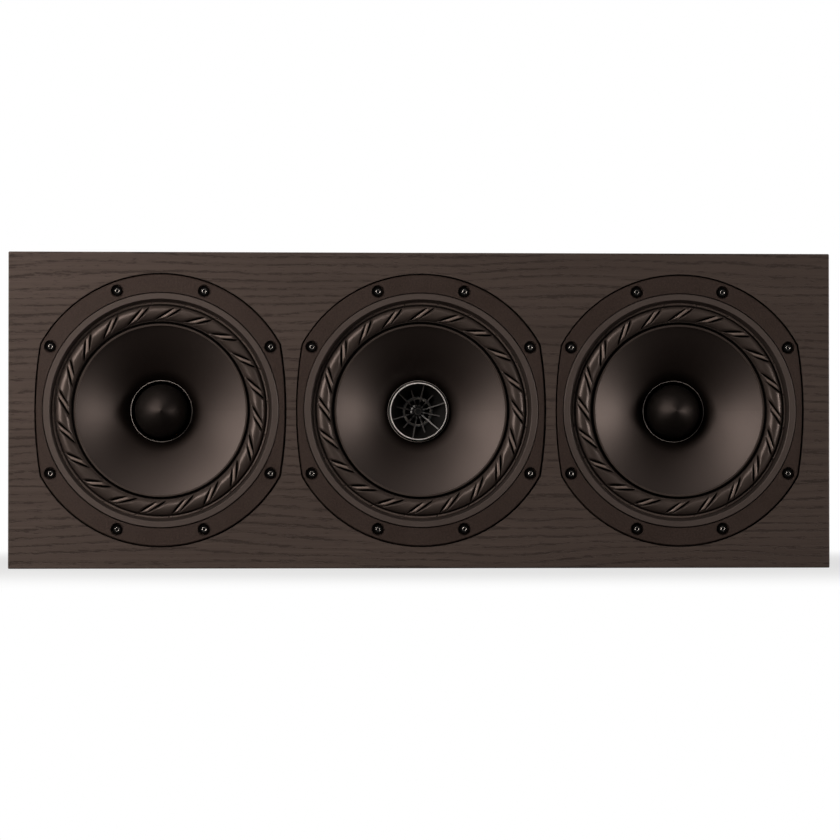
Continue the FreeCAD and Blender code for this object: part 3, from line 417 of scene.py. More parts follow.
# Driver frames: aluminium castings with a round flange, cut at the sides to bring the drivers close together.
# They are sprayed with a matt black powder coat, which dries to a fine pebbled skin. A foam gasket lies under
# each flange, and eight button-head screws hold it in the baffle's rebate.
SIDES = ("left", "centre", "right")
COAT_DARK = (0.0040, 0.0026, 0.0021, 1)
COAT_LIGHT = (0.0520, 0.0339, 0.0277, 1)
COAT_GRAIN = 650
COAT_BUMP = 0.00018
COAT_ROUGH = 0.28
FOAM_DARK = (0.008, 0.008, 0.008, 1)
FOAM_LIGHT = (0.03, 0.03, 0.03, 1)
FOAM_CELLS = 1500
FOAM_BUMP = 0.0003
OXIDE_DARK = (0.0016, 0.0014, 0.0013, 1)
OXIDE_LIGHT = (0.0032, 0.0028, 0.0026, 1)
OXIDE_ROUGH = (0.13, 0.20)
OXIDE_STAIN = 500
dress(
    moulded("powder_coat", COAT_DARK, COAT_LIGHT, COAT_GRAIN, COAT_BUMP, COAT_ROUGH, IOR=1.45, **WARM_SHEEN),
    *[f"{side}_basket" for side in SIDES],
)
foam, tree, shader = new_finish("gasket_foam", Roughness=0.95)
cells = speckle(tree, where(tree), FOAM_CELLS, 2)
feed(tree, shader, Base_Color=mix(tree, cells, FOAM_DARK, FOAM_LIGHT))
bumped(tree, shader, cells, FOAM_BUMP)
dress(foam, *[f"{side}_gasket" for side in SIDES])

oxide, tree, shader = new_finish("black_oxide", IOR=1.5)
stain = speckle(tree, where(tree), OXIDE_STAIN, 3)
feed(tree, shader, Base_Color=mix(tree, stain, OXIDE_DARK, OXIDE_LIGHT))
feed(tree, shader, Roughness=fade(tree, stain, *MOTTLE_RANGE, *OXIDE_ROUGH))
dress(oxide, *[f"{side}_screws" for side in SIDES])


# Voice coils: a rolled aluminium former, varnished black, with a winding of flat copper at its back end.
# Only the former's bare front edge shows, as a thin grey ring round the plug or the tweeter. The drivers'
# turned and moulded parts are shaded by their distance from the axis.
BEAD_MIDDLE = 0.02535
BEAD_FADE = (0.0, 0.0001)
FRONT_EDGE = (0.0005, 0.0002)
WINDING_EDGE = (0.026, 0.0262)
WINDING_PITCH = 0.0006
WINDING_BUMP = 0.0002
VARNISH_DARK = (0.0030, 0.0024, 0.0021, 1)
VARNISH_LIGHT = (0.0050, 0.0041, 0.0036, 1)
VARNISH_ROUGH = (0.35, 0.5)
TARNISH_SCALE = 350
BARE_ALUMINIUM = (0.42, 0.375, 0.35, 1)
WINDING_COPPER = (0.6, 0.24, 0.1, 1)
DRIVER_AXES = {side: (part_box(f"{side}_cone")[0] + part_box(f"{side}_cone")[1]) / 2 for side in SIDES}
DRIVER_PITCH = DRIVER_AXES["right"].x
AXIS_Z = DRIVER_AXES["centre"].z

from_axis, axis_in, axis_out = new_group("place_from_axis", {"Place": "Vector"}, {"Radius": "Float"})
axes = add(from_axis, "SeparateXYZ", axis_in["Place"]).node.outputs
near_x = calc(from_axis, "WRAP", axes["X"], DRIVER_PITCH / 2, -DRIVER_PITCH / 2)
near_z = calc(from_axis, "SUBTRACT", axes["Z"], AXIS_Z)
squares = calc(from_axis, "MULTIPLY_ADD", near_x, near_x, calc(from_axis, "MULTIPLY", near_z, near_z))
from_axis.links.new(calc(from_axis, "SQRT", squares), axis_out["Radius"])


def edge_fade(tree, value, edge, span):
    """Runs smoothly from 0 to 1 over a span, given as two offsets from an edge."""
    return fade(tree, value, edge + span[0], edge + span[1])


former, tree, shader = new_finish("former_and_winding")
depth_in = add(tree, "SeparateXYZ", where(tree)).node.outputs["Y"]
coil_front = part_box("left_voice_coil")[0].y
wound = edge_fade(tree, depth_in, coil_front, WINDING_EDGE)
coil_radius = use_group(tree, from_axis, Place=where(tree))["Radius"]
bright = edge_fade(tree, depth_in, coil_front, FRONT_EDGE)
bright = calc(tree, "MULTIPLY", bright, edge_fade(tree, coil_radius, BEAD_MIDDLE, BEAD_FADE))
tarnish = speckle(tree, where(tree), TARNISH_SCALE, 3)
varnish = mix(tree, tarnish, VARNISH_DARK, VARNISH_LIGHT)
varnish = mix(tree, bright, varnish, BARE_ALUMINIUM)
feed(tree, shader, Base_Color=mix(tree, wound, varnish, WINDING_COPPER))
feed(tree, shader, Roughness=fade(tree, tarnish, *MOTTLE_RANGE, *VARNISH_ROUGH))
feed(tree, shader, Metallic=calc(tree, "SUBTRACT", 1.0, bright))
threads = calc(tree, "SINE", calc(tree, "MULTIPLY", depth_in, math.tau / WINDING_PITCH))
bumped(tree, shader, calc(tree, "MULTIPLY", threads, wound), WINDING_BUMP)
dress(former, *[f"{side}_voice_coil" for side in SIDES])


# Magnet systems: a steel top plate and yoke, zinc plated, with a ferrite ring between them.
# Ferrite is pressed and fired, so it is dull dark grey with a grainy face. The front of the pole is coloured
# near black, so that nothing shines in the gap round the plug.
ZINC_DARK = (0.42, 0.43, 0.44, 1)
ZINC_LIGHT = (0.62, 0.63, 0.64, 1)
ZINC_ROUGH = (0.25, 0.42)
POLE_BLACK = (0.0015, 0.0013, 0.0012, 1)
POLE_TIP = 0.004
FERRITE_DARK = (0.02, 0.02, 0.021, 1)
FERRITE_LIGHT = (0.055, 0.055, 0.058, 1)
FERRITE_GRAIN = 900
FERRITE_BUMP = 0.0002
FERRITE_ROUGH = 0.35
dress(
    turned_metal("zinc_plate", ZINC_DARK, ZINC_LIGHT, ZINC_ROUGH),
    "tweeter_yoke",
    *[f"{side}_top_plate" for side in SIDES],
)
yoke_plate = turned_metal("zinc_plate_black_pole", ZINC_DARK, ZINC_LIGHT, ZINC_ROUGH)
tree = yoke_plate.node_tree
shader = tree.nodes["Principled BSDF"]
depth_in = add(tree, "SeparateXYZ", where(tree)).node.outputs["Y"]
# The pole's front few millimetres are coloured near black.
tip = calc(tree, "LESS_THAN", depth_in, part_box("left_yoke")[0].y + POLE_TIP)
plating = shader.inputs["Base Color"].links[0].from_socket
feed(tree, shader, Base_Color=mix(tree, tip, plating, POLE_BLACK))
dress(yoke_plate, *[f"{side}_yoke" for side in SIDES])
dress(
    moulded("ferrite", FERRITE_DARK, FERRITE_LIGHT, FERRITE_GRAIN, FERRITE_BUMP, FERRITE_ROUGH),
    "tweeter_magnet",
    *[f"{side}_magnet" for side in SIDES],
)


# Cones: pulp pressed to a flared cone and sealed with a dark satin varnish on the front.
# The varnish pulls into faint rings round the cone, and the pulp's fibres make it slightly uneven.
# Towards the neck it is painted deep black, as painted shade for the shadow that falls deep in the cone.
NECK_RADIUS = 0.0265
NECK_SHADE = 0.010
NECK_PAINTED_SHADE = 0.84
PULP_DARK = (0.0042, 0.0024, 0.0018, 1)
PULP_LIGHT = (0.0058, 0.0034, 0.0026, 1)
PULP_RANGE = (0.35, 0.65)
PULP_ROUGH = (0.47, 0.53)
PULP_FIBRES = 650
PULP_RINGS = 900
PULP_BUMP = 0.00005
pulp, tree, shader = new_finish("sealed_pulp", IOR=1.72, **WARM_SHEEN)
radius = use_group(tree, from_axis, Place=where(tree))["Radius"]
rings = speckle(tree, add(tree, "CombineXYZ", calc(tree, "MULTIPLY", radius, PULP_RINGS), 0, 0), 1.0, 3)
fibres = speckle(tree, where(tree), PULP_FIBRES, 4, 0.6)
mottle = calc(tree, "MULTIPLY_ADD", rings, 0.5, calc(tree, "MULTIPLY", fibres, 0.5))
feed(tree, shader, Base_Color=mix(tree, mottle, PULP_DARK, PULP_LIGHT))
feed(tree, shader, Roughness=fade(tree, mottle, *PULP_RANGE, *PULP_ROUGH))
# Painted shade: near the neck the cone turns metallic on its near-black colour, so it reflects almost
# nothing.
feed(tree, shader, Metallic=fade(tree, radius, NECK_RADIUS, NECK_RADIUS + NECK_SHADE, NECK_PAINTED_SHADE, 0.0))
bumped(tree, shader, mottle, PULP_BUMP)
dress(pulp, *[f"{side}_cone" for side in SIDES])


# Surrounds: butyl rubber moulded as a half roll with twenty slanted ribs that keep it from buckling.
# Each rib is a straight round bar on the floor of a leaf-shaped notch. The outer lip, with a bead beside the
# roll, is clamped under the trim ring. The inner lip is glued to the cone's rim.
LIP_HEIGHT = 0.0016
ROLL_RADIUS = 0.0063
ROLL_MARGIN = 0.0162
INNER_LIP = 0.0108
VALLEY_FLOOR = 0.0004
VALLEY_ROUND = 0.0002
BEAD_WIDTH = 0.0024
OUTER_BEAD = 0.0079
OUTER_BEAD_ROUND = 0.0008
LIP_FILLET = 0.0008
LIP_ROUND = 0.0003
RIB_COUNT = 20
RIB_SLANT = math.radians(52)
RIB_PHASES = {"left": 5.5, "centre": 1.3, "right": 1.7}
NOTCH_DEPTH = 0.0027
NOTCH_FALL = 0.0011
NOTCH_REACH = 0.0095
NOTCH_FLOOR_HALF = 0.0020
NOTCH_MOUTH_HALF = 0.0035
NOTCH_ROUND = 0.0002
BAR_RISE = 0.0019
BAR_HALF = 0.0015
BAR_CREST = (0.45, 0.80)
GROOVE_DEPTHS = (0.0012, 0.0021)
SHARP_ANGLE = math.radians(50)
ROLL_SHADE = (-0.0012, -0.0002)
BEAD_SHADE = (-0.0004, -0.0010)
FOOT_SHADE = (-0.0010, -0.0003)
LIP_SHADE = (0.0006, 0.0011)
OUTER_VALLEY_SHADE = 0.7
RUBBER_PAINTED_SHADE = (0.0030, 0.0023, 0.0020, 1)
RUBBER_DARK = (0.039, 0.0300, 0.0260, 1)
RUBBER_LIGHT = (0.048, 0.0370, 0.0322, 1)
LIP_PAINTED_HIGHLIGHT = (0.098, 0.0755, 0.066, 1)
CREST_PAINTED_HIGHLIGHT = (0.17, 0.132, 0.115, 1)
RUBBER_ROUGH = (0.31, 0.39)
RUBBER_BLOOM = 120
RUBBER_GRAIN = 1800
RUBBER_BUMP = 0.00003


def arc(centre, size, start, end, count):
    angles = np.radians(np.linspace(start, end, count))
    return np.stack([centre[0] + size * np.cos(angles), centre[1] + size * np.sin(angles)], axis=-1)


def closed_ring(name, points):
    """A ring with a closed section: points[row][column], joined up both ways."""
    rows, columns = points.shape[:2]
    index = np.arange(rows * columns).reshape(rows, columns)
    beside = np.roll(index, -1, axis=1)
    faces = np.stack([index, beside, np.roll(beside, -1, axis=0), np.roll(index, -1, axis=0)], axis=-1)
    mesh = bpy.data.meshes.new(name)
    mesh.from_pydata(points.reshape(-1, 3).tolist(), [], faces.reshape(-1, 4).tolist())
    mesh.shade_smooth()
    mesh.set_sharp_from_angle(angle=SHARP_ANGLE)
    made = bpy.data.objects.new(name, mesh)
    bpy.context.scene.collection.objects.link(made)
    return made


def bend_with_cone(piece):
    """Moves the ring's placement into its mesh."""
    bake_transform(piece)


def surround_section(outer, middle):
    """Closed section of a surround without its ribs, as (radius, height above the lip's underside)."""
    reach = ROLL_RADIUS + LIP_FILLET
    foot = math.sqrt(reach**2 - (LIP_HEIGHT + LIP_FILLET) ** 2)
    lean = math.degrees(math.asin((LIP_HEIGHT + LIP_FILLET) / reach))
    inner = middle - INNER_LIP
    valley = math.sqrt(ROLL_RADIUS**2 - VALLEY_FLOOR**2)
    dip = math.degrees(math.asin(VALLEY_FLOOR / ROLL_RADIUS))
    return np.concatenate([
        [(outer, 0), (outer, LIP_HEIGHT)],
        arc((middle + OUTER_BEAD, LIP_HEIGHT), OUTER_BEAD_ROUND, 0, 180, 9),
        arc((middle + foot, LIP_HEIGHT + LIP_FILLET), LIP_FILLET, 270, 180 + lean, 6)[:-1],
        arc((middle, 0), ROLL_RADIUS, lean, 180 - dip, 58),
        [(middle - valley - VALLEY_ROUND, VALLEY_FLOOR), (inner + BEAD_WIDTH + VALLEY_ROUND, VALLEY_FLOOR)],
        arc((inner + BEAD_WIDTH - LIP_ROUND, LIP_HEIGHT - LIP_ROUND), LIP_ROUND, 0, 90, 5),
        arc((inner + LIP_ROUND, LIP_HEIGHT - LIP_ROUND), LIP_ROUND, 90, 180, 5),
        [(inner, 0)],
        arc((middle, 0), ROLL_RADIUS - LIP_HEIGHT, 180, 0, 14),
    ])


def notch_floor(along):
    """Height of a notch's floor, which falls towards its two ends."""
    return ROLL_RADIUS - NOTCH_DEPTH - NOTCH_FALL * (along / NOTCH_REACH) ** 2


def notch_wall(across):
    """How far a notch's side walls stand above its floor."""
    beside = np.maximum(np.abs(across) - NOTCH_FLOOR_HALF, 0)
    return NOTCH_DEPTH * beside / (NOTCH_MOUTH_HALF - NOTCH_FLOOR_HALF)


def notched(height, along, across):
    """Cuts a notch with its bar into the roll, and rounds the notch's edge."""
    bar = BAR_RISE * np.sqrt(np.maximum(1 - (across / BAR_HALF) ** 2, 0))
    cut = notch_floor(along) + np.maximum(notch_wall(across), bar)
    near_edge = np.maximum(NOTCH_ROUND - np.abs(height - cut), 0) / NOTCH_ROUND
    rounded = np.minimum(height, cut) - near_edge**2 * NOTCH_ROUND / 4
    return np.where(height > LIP_HEIGHT, rounded, height)


rubber, tree, shader = new_finish("butyl_rubber", IOR=1.55, **WARM_SHEEN)
bloom = speckle(tree, where(tree), RUBBER_BLOOM, 4, 0.6)
radius = use_group(tree, from_axis, Place=where(tree))["Radius"]
roll_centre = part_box("centre_surround")[1].x - ROLL_MARGIN
roll_start = roll_centre - ROLL_RADIUS
roll_end = roll_centre + ROLL_RADIUS
bead_end = roll_centre - INNER_LIP + BEAD_WIDTH
# Painted shade: the valley between the inner lip and the roll, and the deep grooves of the notches, are
# coloured near black.
on_roll = edge_fade(tree, radius, roll_start, ROLL_SHADE)
on_bead = edge_fade(tree, radius, bead_end, BEAD_SHADE)
rib_shade_and_highlight = add(tree, "Attribute", attribute_name="rib_shade_and_highlight").node.outputs["Fac"]
unshaded = calc(tree, "SUBTRACT", calc(tree, "ADD", on_roll, on_bead), fade(tree, rib_shade_and_highlight, 0.5, 1.0))
on_lip = edge_fade(tree, radius, roll_end, LIP_SHADE)
# Painted shade: a band at the roll's outer foot is darkened most of the way to black.
outer_valley_shade = calc(tree, "SUBTRACT", edge_fade(tree, radius, roll_end, FOOT_SHADE), on_lip)
unshaded = calc(tree, "MULTIPLY_ADD", outer_valley_shade, -OUTER_VALLEY_SHADE, unshaded)
grey = mix(tree, bloom, RUBBER_DARK, RUBBER_LIGHT)
# Painted highlight: the outer lip and its bead are coloured lighter than the roll.
grey = mix(tree, on_lip, grey, LIP_PAINTED_HIGHLIGHT)
# Painted highlight: the crests of the bars are coloured lighter.
grey = mix(tree, fade(tree, rib_shade_and_highlight, 0.5, 0.0), grey, CREST_PAINTED_HIGHLIGHT)
feed(tree, shader, Base_Color=mix(tree, unshaded, RUBBER_PAINTED_SHADE, grey))
feed(tree, shader, Roughness=fade(tree, bloom, *MOTTLE_RANGE, *RUBBER_ROUGH))
# Painted shade is made metallic on its near-black colour, so it reflects almost nothing.
feed(tree, shader, Metallic=calc(tree, "SUBTRACT", 1.0, unshaded))
bumped(tree, shader, speckle(tree, where(tree), RUBBER_GRAIN, 2), RUBBER_BUMP)

half_pitch = math.pi / RIB_COUNT
bar = BAR_HALF * np.sin(np.linspace(0, math.pi / 2, 8))
wall = np.linspace(NOTCH_FLOOR_HALF, NOTCH_MOUTH_HALF + NOTCH_ROUND, 12)
beyond = np.linspace(NOTCH_MOUTH_HALF + NOTCH_ROUND, roll_centre * half_pitch * math.cos(RIB_SLANT), 6)[1:]
one_side = np.concatenate([bar, wall, beyond]) / (roll_centre * math.cos(RIB_SLANT))
rib_columns = np.concatenate([-one_side[:0:-1], one_side])[1:]
for side in SIDES:
    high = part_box(f"{side}_surround")[1]
    axis = DRIVER_AXES[side]
    section = surround_section(high.x - axis.x, roll_centre)
    radius, height = section[:, :1], section[:, 1:]
    nearest = roll_centre * math.sin(RIB_SLANT)
    run = np.sqrt(np.maximum(radius**2 - nearest**2, 0)) - roll_centre * math.cos(RIB_SLANT)
    shear = np.arctan2(run * math.sin(RIB_SLANT), roll_centre + run * math.cos(RIB_SLANT))
    near = np.tile(rib_columns, RIB_COUNT)[None, :] + shear
    out = radius * np.cos(near) - roll_centre
    around = radius * np.sin(near)
    along = out * math.cos(RIB_SLANT) + around * math.sin(RIB_SLANT)
    across = around * math.cos(RIB_SLANT) - out * math.sin(RIB_SLANT)
    underside = np.hypot(radius - roll_centre, height) < ROLL_RADIUS - 1e-6
    lining = notch_floor(along) + notch_wall(np.maximum(np.abs(across) - LIP_HEIGHT, 0)) - LIP_HEIGHT
    plain = height
    height = np.where(underside, np.minimum(plain, np.maximum(lining, 0)), notched(plain, along, across))
    # The rib attribute is painted light: above one half it is painted shade in the deep grooves, below one
    # half a painted highlight on the crests.
    sunk = np.where(underside, 0, plain - height)
    crest = np.interp(np.abs(across) / BAR_HALF, BAR_CREST, (1, 0)) * (sunk > NOTCH_ROUND)
    rib_shade_and_highlight = (1 + np.interp(sunk, GROOVE_DEPTHS, (0, 1)) - crest) / 2
    rib = np.repeat(np.arange(RIB_COUNT), len(rib_columns)) * 2 * half_pitch + math.radians(RIB_PHASES[side])
    clock = near + rib[None, :]
    places = np.stack(
        [axis.x + radius * np.sin(clock), high.y - height, axis.z + radius * np.cos(clock)], axis=-1
    )
    surround = closed_ring(f"{side}_ribbed_surround", places)
    surround.data.materials.append(rubber)
    tones = surround.data.attributes.new("rib_shade_and_highlight", "FLOAT", "POINT")
    tones.data.foreach_set("value", rib_shade_and_highlight.ravel().astype(np.float32))
    bend_with_cone(surround)
    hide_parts(f"{side}_surround")


# Screw sockets: the button heads have hexagon sockets whose rims are worn bright by the driver bit.
# Each rim is a thin rounded ring that lies on the edge of the head's socket.
SCREW_CIRCLE = 0.1045
SCREW_LEANS = (20, 60)
SOCKET_RADIUS = 0.00155
SOCKET_ROUND = 0.00022
RIM_COLUMNS = 24
WORN_DARK = (0.60, 0.56, 0.53, 1)
WORN_LIGHT = (0.80, 0.76, 0.72, 1)
WORN_ROUGH = (0.18, 0.30)
SCUFF_SCALE = 900
worn, tree, shader = new_finish("worn_steel", Metallic=1.0)
scuffs = speckle(tree, where(tree), SCUFF_SCALE, 3)
feed(tree, shader, Base_Color=mix(tree, scuffs, WORN_DARK, WORN_LIGHT))
feed(tree, shader, Roughness=fade(tree, scuffs, *MOTTLE_RANGE, *WORN_ROUGH))
rim_section = arc((SOCKET_RADIUS, 0), SOCKET_ROUND, 0, 330, 12)
rim_clock = np.radians(np.linspace(0, 360, RIM_COLUMNS, endpoint=False))[None, :]
for side in SIDES:
    axis = DRIVER_AXES[side]
    head_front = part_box(f"{side}_screws")[0].y
    leans = [vertical + lean * way for lean in SCREW_LEANS for vertical in (0, 180) for way in (-1, 1)]
    for number, lean in enumerate(leans):
        across = axis.x + SCREW_CIRCLE * math.sin(math.radians(lean))
        up = axis.z + SCREW_CIRCLE * math.cos(math.radians(lean))
        places = np.stack([
            across + rim_section[:, :1] * np.sin(rim_clock),
            head_front - rim_section[:, 1:] + 0 * rim_clock,
            up + rim_section[:, :1] * np.cos(rim_clock),
        ], axis=-1)
        rim = closed_ring(f"{side}_socket_rim_{number + 1}", places)
        rim.data.materials.append(worn)
        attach(rim, "cabinet")


# Spiders: a disc of resin-dipped cotton, pressed into waves, that keeps the coil centred in its gap.
# Its outer lip is glued to the frame and its neck to the former.
SPIDER_WALL = 0.0006
SPIDER_NECK = 0.0035
SPIDER_LIP = 0.006
SPIDER_WAVES = 4
SPIDER_SWING = 0.0015
ROWS_PER_WAVE = 14
SPIDER_COLUMNS = 128
COTTON_DARK = (0.22, 0.13, 0.05, 1)
COTTON_LIGHT = (0.4, 0.26, 0.12, 1)
WEAVE_PITCH = 0.0009
WEAVE_BUMP = 0.0003
COIL_WINDING = 0.001
GLUE_LINE = 0.00005
cloth, tree, shader = new_finish("resin_dipped_cotton", Roughness=0.9)
place = add(tree, "SeparateXYZ", where(tree)).node.outputs
weave = [calc(tree, "SINE", calc(tree, "MULTIPLY", place[way], math.tau / WEAVE_PITCH)) for way in "XZ"]
cloth_height = calc(tree, "MULTIPLY", *weave)
feed(tree, shader, Base_Color=mix(tree, fade(tree, cloth_height, -1, 1), COTTON_DARK, COTTON_LIGHT))
bumped(tree, shader, cloth_height, WEAVE_BUMP)
for side in SIDES:
    low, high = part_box(f"{side}_spider")
    axis = DRIVER_AXES[side]
    outer = high.x - axis.x
    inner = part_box(f"{side}_voice_coil")[1].x - axis.x - COIL_WINDING + GLUE_LINE
    steps = np.linspace(0, 1, SPIDER_WAVES * ROWS_PER_WAVE + 1)
    wave = outer - SPIDER_LIP - steps * (outer - SPIDER_LIP - inner - SPIDER_NECK)
    top = np.stack([wave, SPIDER_SWING * np.sin(steps * SPIDER_WAVES * math.tau)], axis=-1)
    top = np.concatenate([[(outer, 0)], top, [(inner, 0)]])
    ring = np.concatenate([top, top[::-1] - (0, SPIDER_WALL)])
    clock = np.linspace(0, math.tau, SPIDER_COLUMNS, endpoint=False)[None, :]
    middle_y = (low.y + high.y - SPIDER_WALL) / 2
    places = np.stack([
        axis.x + ring[:, :1] * np.sin(clock),
        middle_y - ring[:, 1:] + 0 * clock,
        axis.z + ring[:, :1] * np.cos(clock),
    ], axis=-1)
    spider = closed_ring(f"{side}_woven_spider", places)
    spider.data.materials.append(cloth)
    bend_with_cone(spider)
    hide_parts(f"{side}_spider")


# Trim rings: moulded plastic rings pressed over the surround's lip, in a tight seat in the flange.
# The flat is a fine matt grey. The slope that runs down to the roll is satin and painted near black as
# painted shade, and so is the ring's outer edge.
TRIM_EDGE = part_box("centre_trim_ring")[1].x
TRIM_FLAT_WIDTH = 0.0052
FLAT_FADE = (0.0, 0.0004)
SEAM_FADE = (-0.0006, -0.0003)
TRIM_GRAIN = 2600
TRIM_BUMP = 0.00004
TRIM_ROUGH = 0.15
FLAT_ROUGH = 0.15
GREY_DARK = (0.040, 0.0305, 0.0270, 1)
GREY_LIGHT = (0.056, 0.0440, 0.0390, 1)
SLOPE_SHADE_DARK = (0.016, 0.0123, 0.0108, 1)
SLOPE_SHADE_LIGHT = (0.022, 0.0170, 0.0149, 1)
trim, tree, shader = new_finish("trim_moulding", IOR=1.65, **WARM_SHEEN)
found = use_group(tree, moulding, Place=where(tree), Grain=TRIM_GRAIN)
radius = use_group(tree, from_axis, Place=where(tree))["Radius"]
# Painted shade: the slope and the ring's outer edge are coloured near black.
seam_shade = edge_fade(tree, radius, TRIM_EDGE, SEAM_FADE)
rubbed_and_unshaded = edge_fade(tree, radius, TRIM_EDGE - TRIM_FLAT_WIDTH, FLAT_FADE)
rubbed_and_unshaded = calc(tree, "SUBTRACT", rubbed_and_unshaded, seam_shade)
matt_grey = mix(tree, found["Grain"], GREY_DARK, GREY_LIGHT)
painted_slope_shade = mix(tree, found["Grain"], SLOPE_SHADE_DARK, SLOPE_SHADE_LIGHT)
feed(tree, shader, Base_Color=mix(tree, rubbed_and_unshaded, painted_slope_shade, matt_grey))
rough = calc(tree, "ADD", found["Rough"], TRIM_ROUGH)
feed(tree, shader, Roughness=calc(tree, "MULTIPLY_ADD", rubbed_and_unshaded, FLAT_ROUGH, rough))
bumped(tree, shader, found["Grain"], TRIM_BUMP)
dress(trim, *[f"{side}_trim_ring" for side in SIDES])


# Phase plugs: turned bullets of black acetal that stand on the poles of the two outer drivers.
# They are polished to a satin and come to a fine point.
ACETAL_DARK = (0.0030, 0.0025, 0.0022, 1)
ACETAL_LIGHT = (0.0050, 0.0042, 0.0038, 1)
ACETAL_ROUGH = (0.48, 0.54)
ACETAL_POLISH = 160
ACETAL_GRAIN = 1400
ACETAL_BUMP = 0.00002
plug, tree, shader = new_finish("black_acetal", IOR=1.42, **WARM_SHEEN)
polish = speckle(tree, where(tree), ACETAL_POLISH, 3)
feed(tree, shader, Base_Color=mix(tree, polish, ACETAL_DARK, ACETAL_LIGHT))
feed(tree, shader, Roughness=fade(tree, polish, *MOTTLE_RANGE, *ACETAL_ROUGH))
bumped(tree, shader, speckle(tree, where(tree), ACETAL_GRAIN, 2), ACETAL_BUMP)
dress(plug, "left_phase_plug", "right_phase_plug")


# Tweeter: a small dome in the throat of the centre driver, behind a plug of twelve fins in a short horn.
# A turned metal ring edges the horn's mouth. Its outer edge is painted near white as a painted reflection,
# and the rest of it near black. The dome is black anodised metal, and its roll is painted pale as a painted
# highlight. The moulded fins are grey outside the nose and painted near black inside it as painted shade,
# with a painted highlight dot at each fin's inner end and a grey ring round the hub.
RING_BRIGHT = 0.0009
RING_FADE = (-0.0001, 0.0001)
RING_BLACK = (0.012, 0.010, 0.0095, 1)
RING_REFLECTION_DARK = (0.94, 0.90, 0.87, 1)
RING_REFLECTION_LIGHT = (1.0, 0.97, 0.95, 1)
CUT_ROUGH = (0.25, 0.4)
HORN_DARK = (0.0022, 0.0019, 0.0018, 1)
HORN_LIGHT = (0.0040, 0.0035, 0.0032, 1)
HORN_GRAIN = 2400
HORN_BUMP = 0.00003
HORN_ROUGH = 0.14
FIN_GREY_FROM = 0.0085
FIN_GREY_FADE = (-0.001, 0.001)
FIN_DOT = 0.0053
FIN_DOT_HALF = 0.0005
HUB_RING = 0.0027
HUB_RING_HALF = 0.0003
FIN_DARK = (0.040, 0.0365, 0.035, 1)
FIN_LIGHT = (0.060, 0.055, 0.052, 1)
FIN_BUMP = 0.00002
FIN_ROUGH = 0.1
ROLL_INNER = 0.0103
ROLL_FADE = (0.0, 0.0002)
DOME_DARK = (0.0024, 0.0021, 0.0020, 1)
DOME_LIGHT = (0.0042, 0.0037, 0.0034, 1)
DOME_ROUGH = (0.14, 0.22)
DOME_SHEEN = 300
ROLL_HIGHLIGHT_DARK = (0.86, 0.79, 0.72, 1)
ROLL_HIGHLIGHT_LIGHT = (0.96, 0.89, 0.82, 1)


def band(tree, radius, middle, half):
    """1 within half a band's width of the middle radius, fading to 0 just outside."""
    offset = calc(tree, "ABSOLUTE", calc(tree, "SUBTRACT", radius, middle))
    return fade(tree, offset, half * 1.3, half * 0.7)


edging, tree, shader = new_finish("turned_edging", IOR=1.6)
radius = use_group(tree, from_axis, Place=where(tree))["Radius"]
smear = speckle(tree, where(tree), SMEAR_SCALE, 3)
# Painted reflection: the ring's outer edge is coloured near white, standing in for the turned metal's shine.
painted_ring_reflection = mix(tree, smear, RING_REFLECTION_DARK, RING_REFLECTION_LIGHT)
share = edge_fade(tree, radius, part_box("tweeter_ring")[1].x - RING_BRIGHT, RING_FADE)
feed(tree, shader, Base_Color=mix(tree, share, RING_BLACK, painted_ring_reflection))
feed(tree, shader, Roughness=fade(tree, smear, *MOTTLE_RANGE, *CUT_ROUGH))
dress(edging, "tweeter_ring")

dress(
    moulded("horn_moulding", HORN_DARK, HORN_LIGHT, HORN_GRAIN, HORN_BUMP, HORN_ROUGH, IOR=1.5),
    "tweeter_housing",
)

fins, tree, shader = new_finish("fin_moulding", IOR=1.5)
found = use_group(tree, moulding, Place=where(tree), Grain=HORN_GRAIN)
radius = use_group(tree, from_axis, Place=where(tree))["Radius"]
# Painted light: the fins stay near black inside the nose as painted shade, with painted highlight dots at
# their inner ends.
painted_tip_highlights = band(tree, radius, FIN_DOT, FIN_DOT_HALF)
share = calc(tree, "MAXIMUM", painted_tip_highlights, band(tree, radius, HUB_RING, HUB_RING_HALF))
share = calc(tree, "MAXIMUM", share, edge_fade(tree, radius, FIN_GREY_FROM, FIN_GREY_FADE))
grey = mix(tree, found["Grain"], FIN_DARK, FIN_LIGHT)
feed(tree, shader, Base_Color=mix(tree, share, HORN_DARK, grey))
feed(tree, shader, Roughness=calc(tree, "ADD", found["Rough"], FIN_ROUGH))
bumped(tree, shader, found["Grain"], FIN_BUMP)
dress(fins, "tweeter_fins")

dome, tree, shader = new_finish("anodised_dome", IOR=1.6)
radius = use_group(tree, from_axis, Place=where(tree))["Radius"]
sheen = speckle(tree, where(tree), DOME_SHEEN, 3)
# Painted highlight: the dome's roll is coloured pale.
roll = edge_fade(tree, radius, ROLL_INNER, ROLL_FADE)
anodised = mix(tree, sheen, DOME_DARK, DOME_LIGHT)
painted_roll_highlight = mix(tree, sheen, ROLL_HIGHLIGHT_DARK, ROLL_HIGHLIGHT_LIGHT)
feed(tree, shader, Base_Color=mix(tree, roll, anodised, painted_roll_highlight))
feed(tree, shader, Roughness=fade(tree, sheen, *MOTTLE_RANGE, *DOME_ROUGH))
dress(dome, "tweeter_dome")


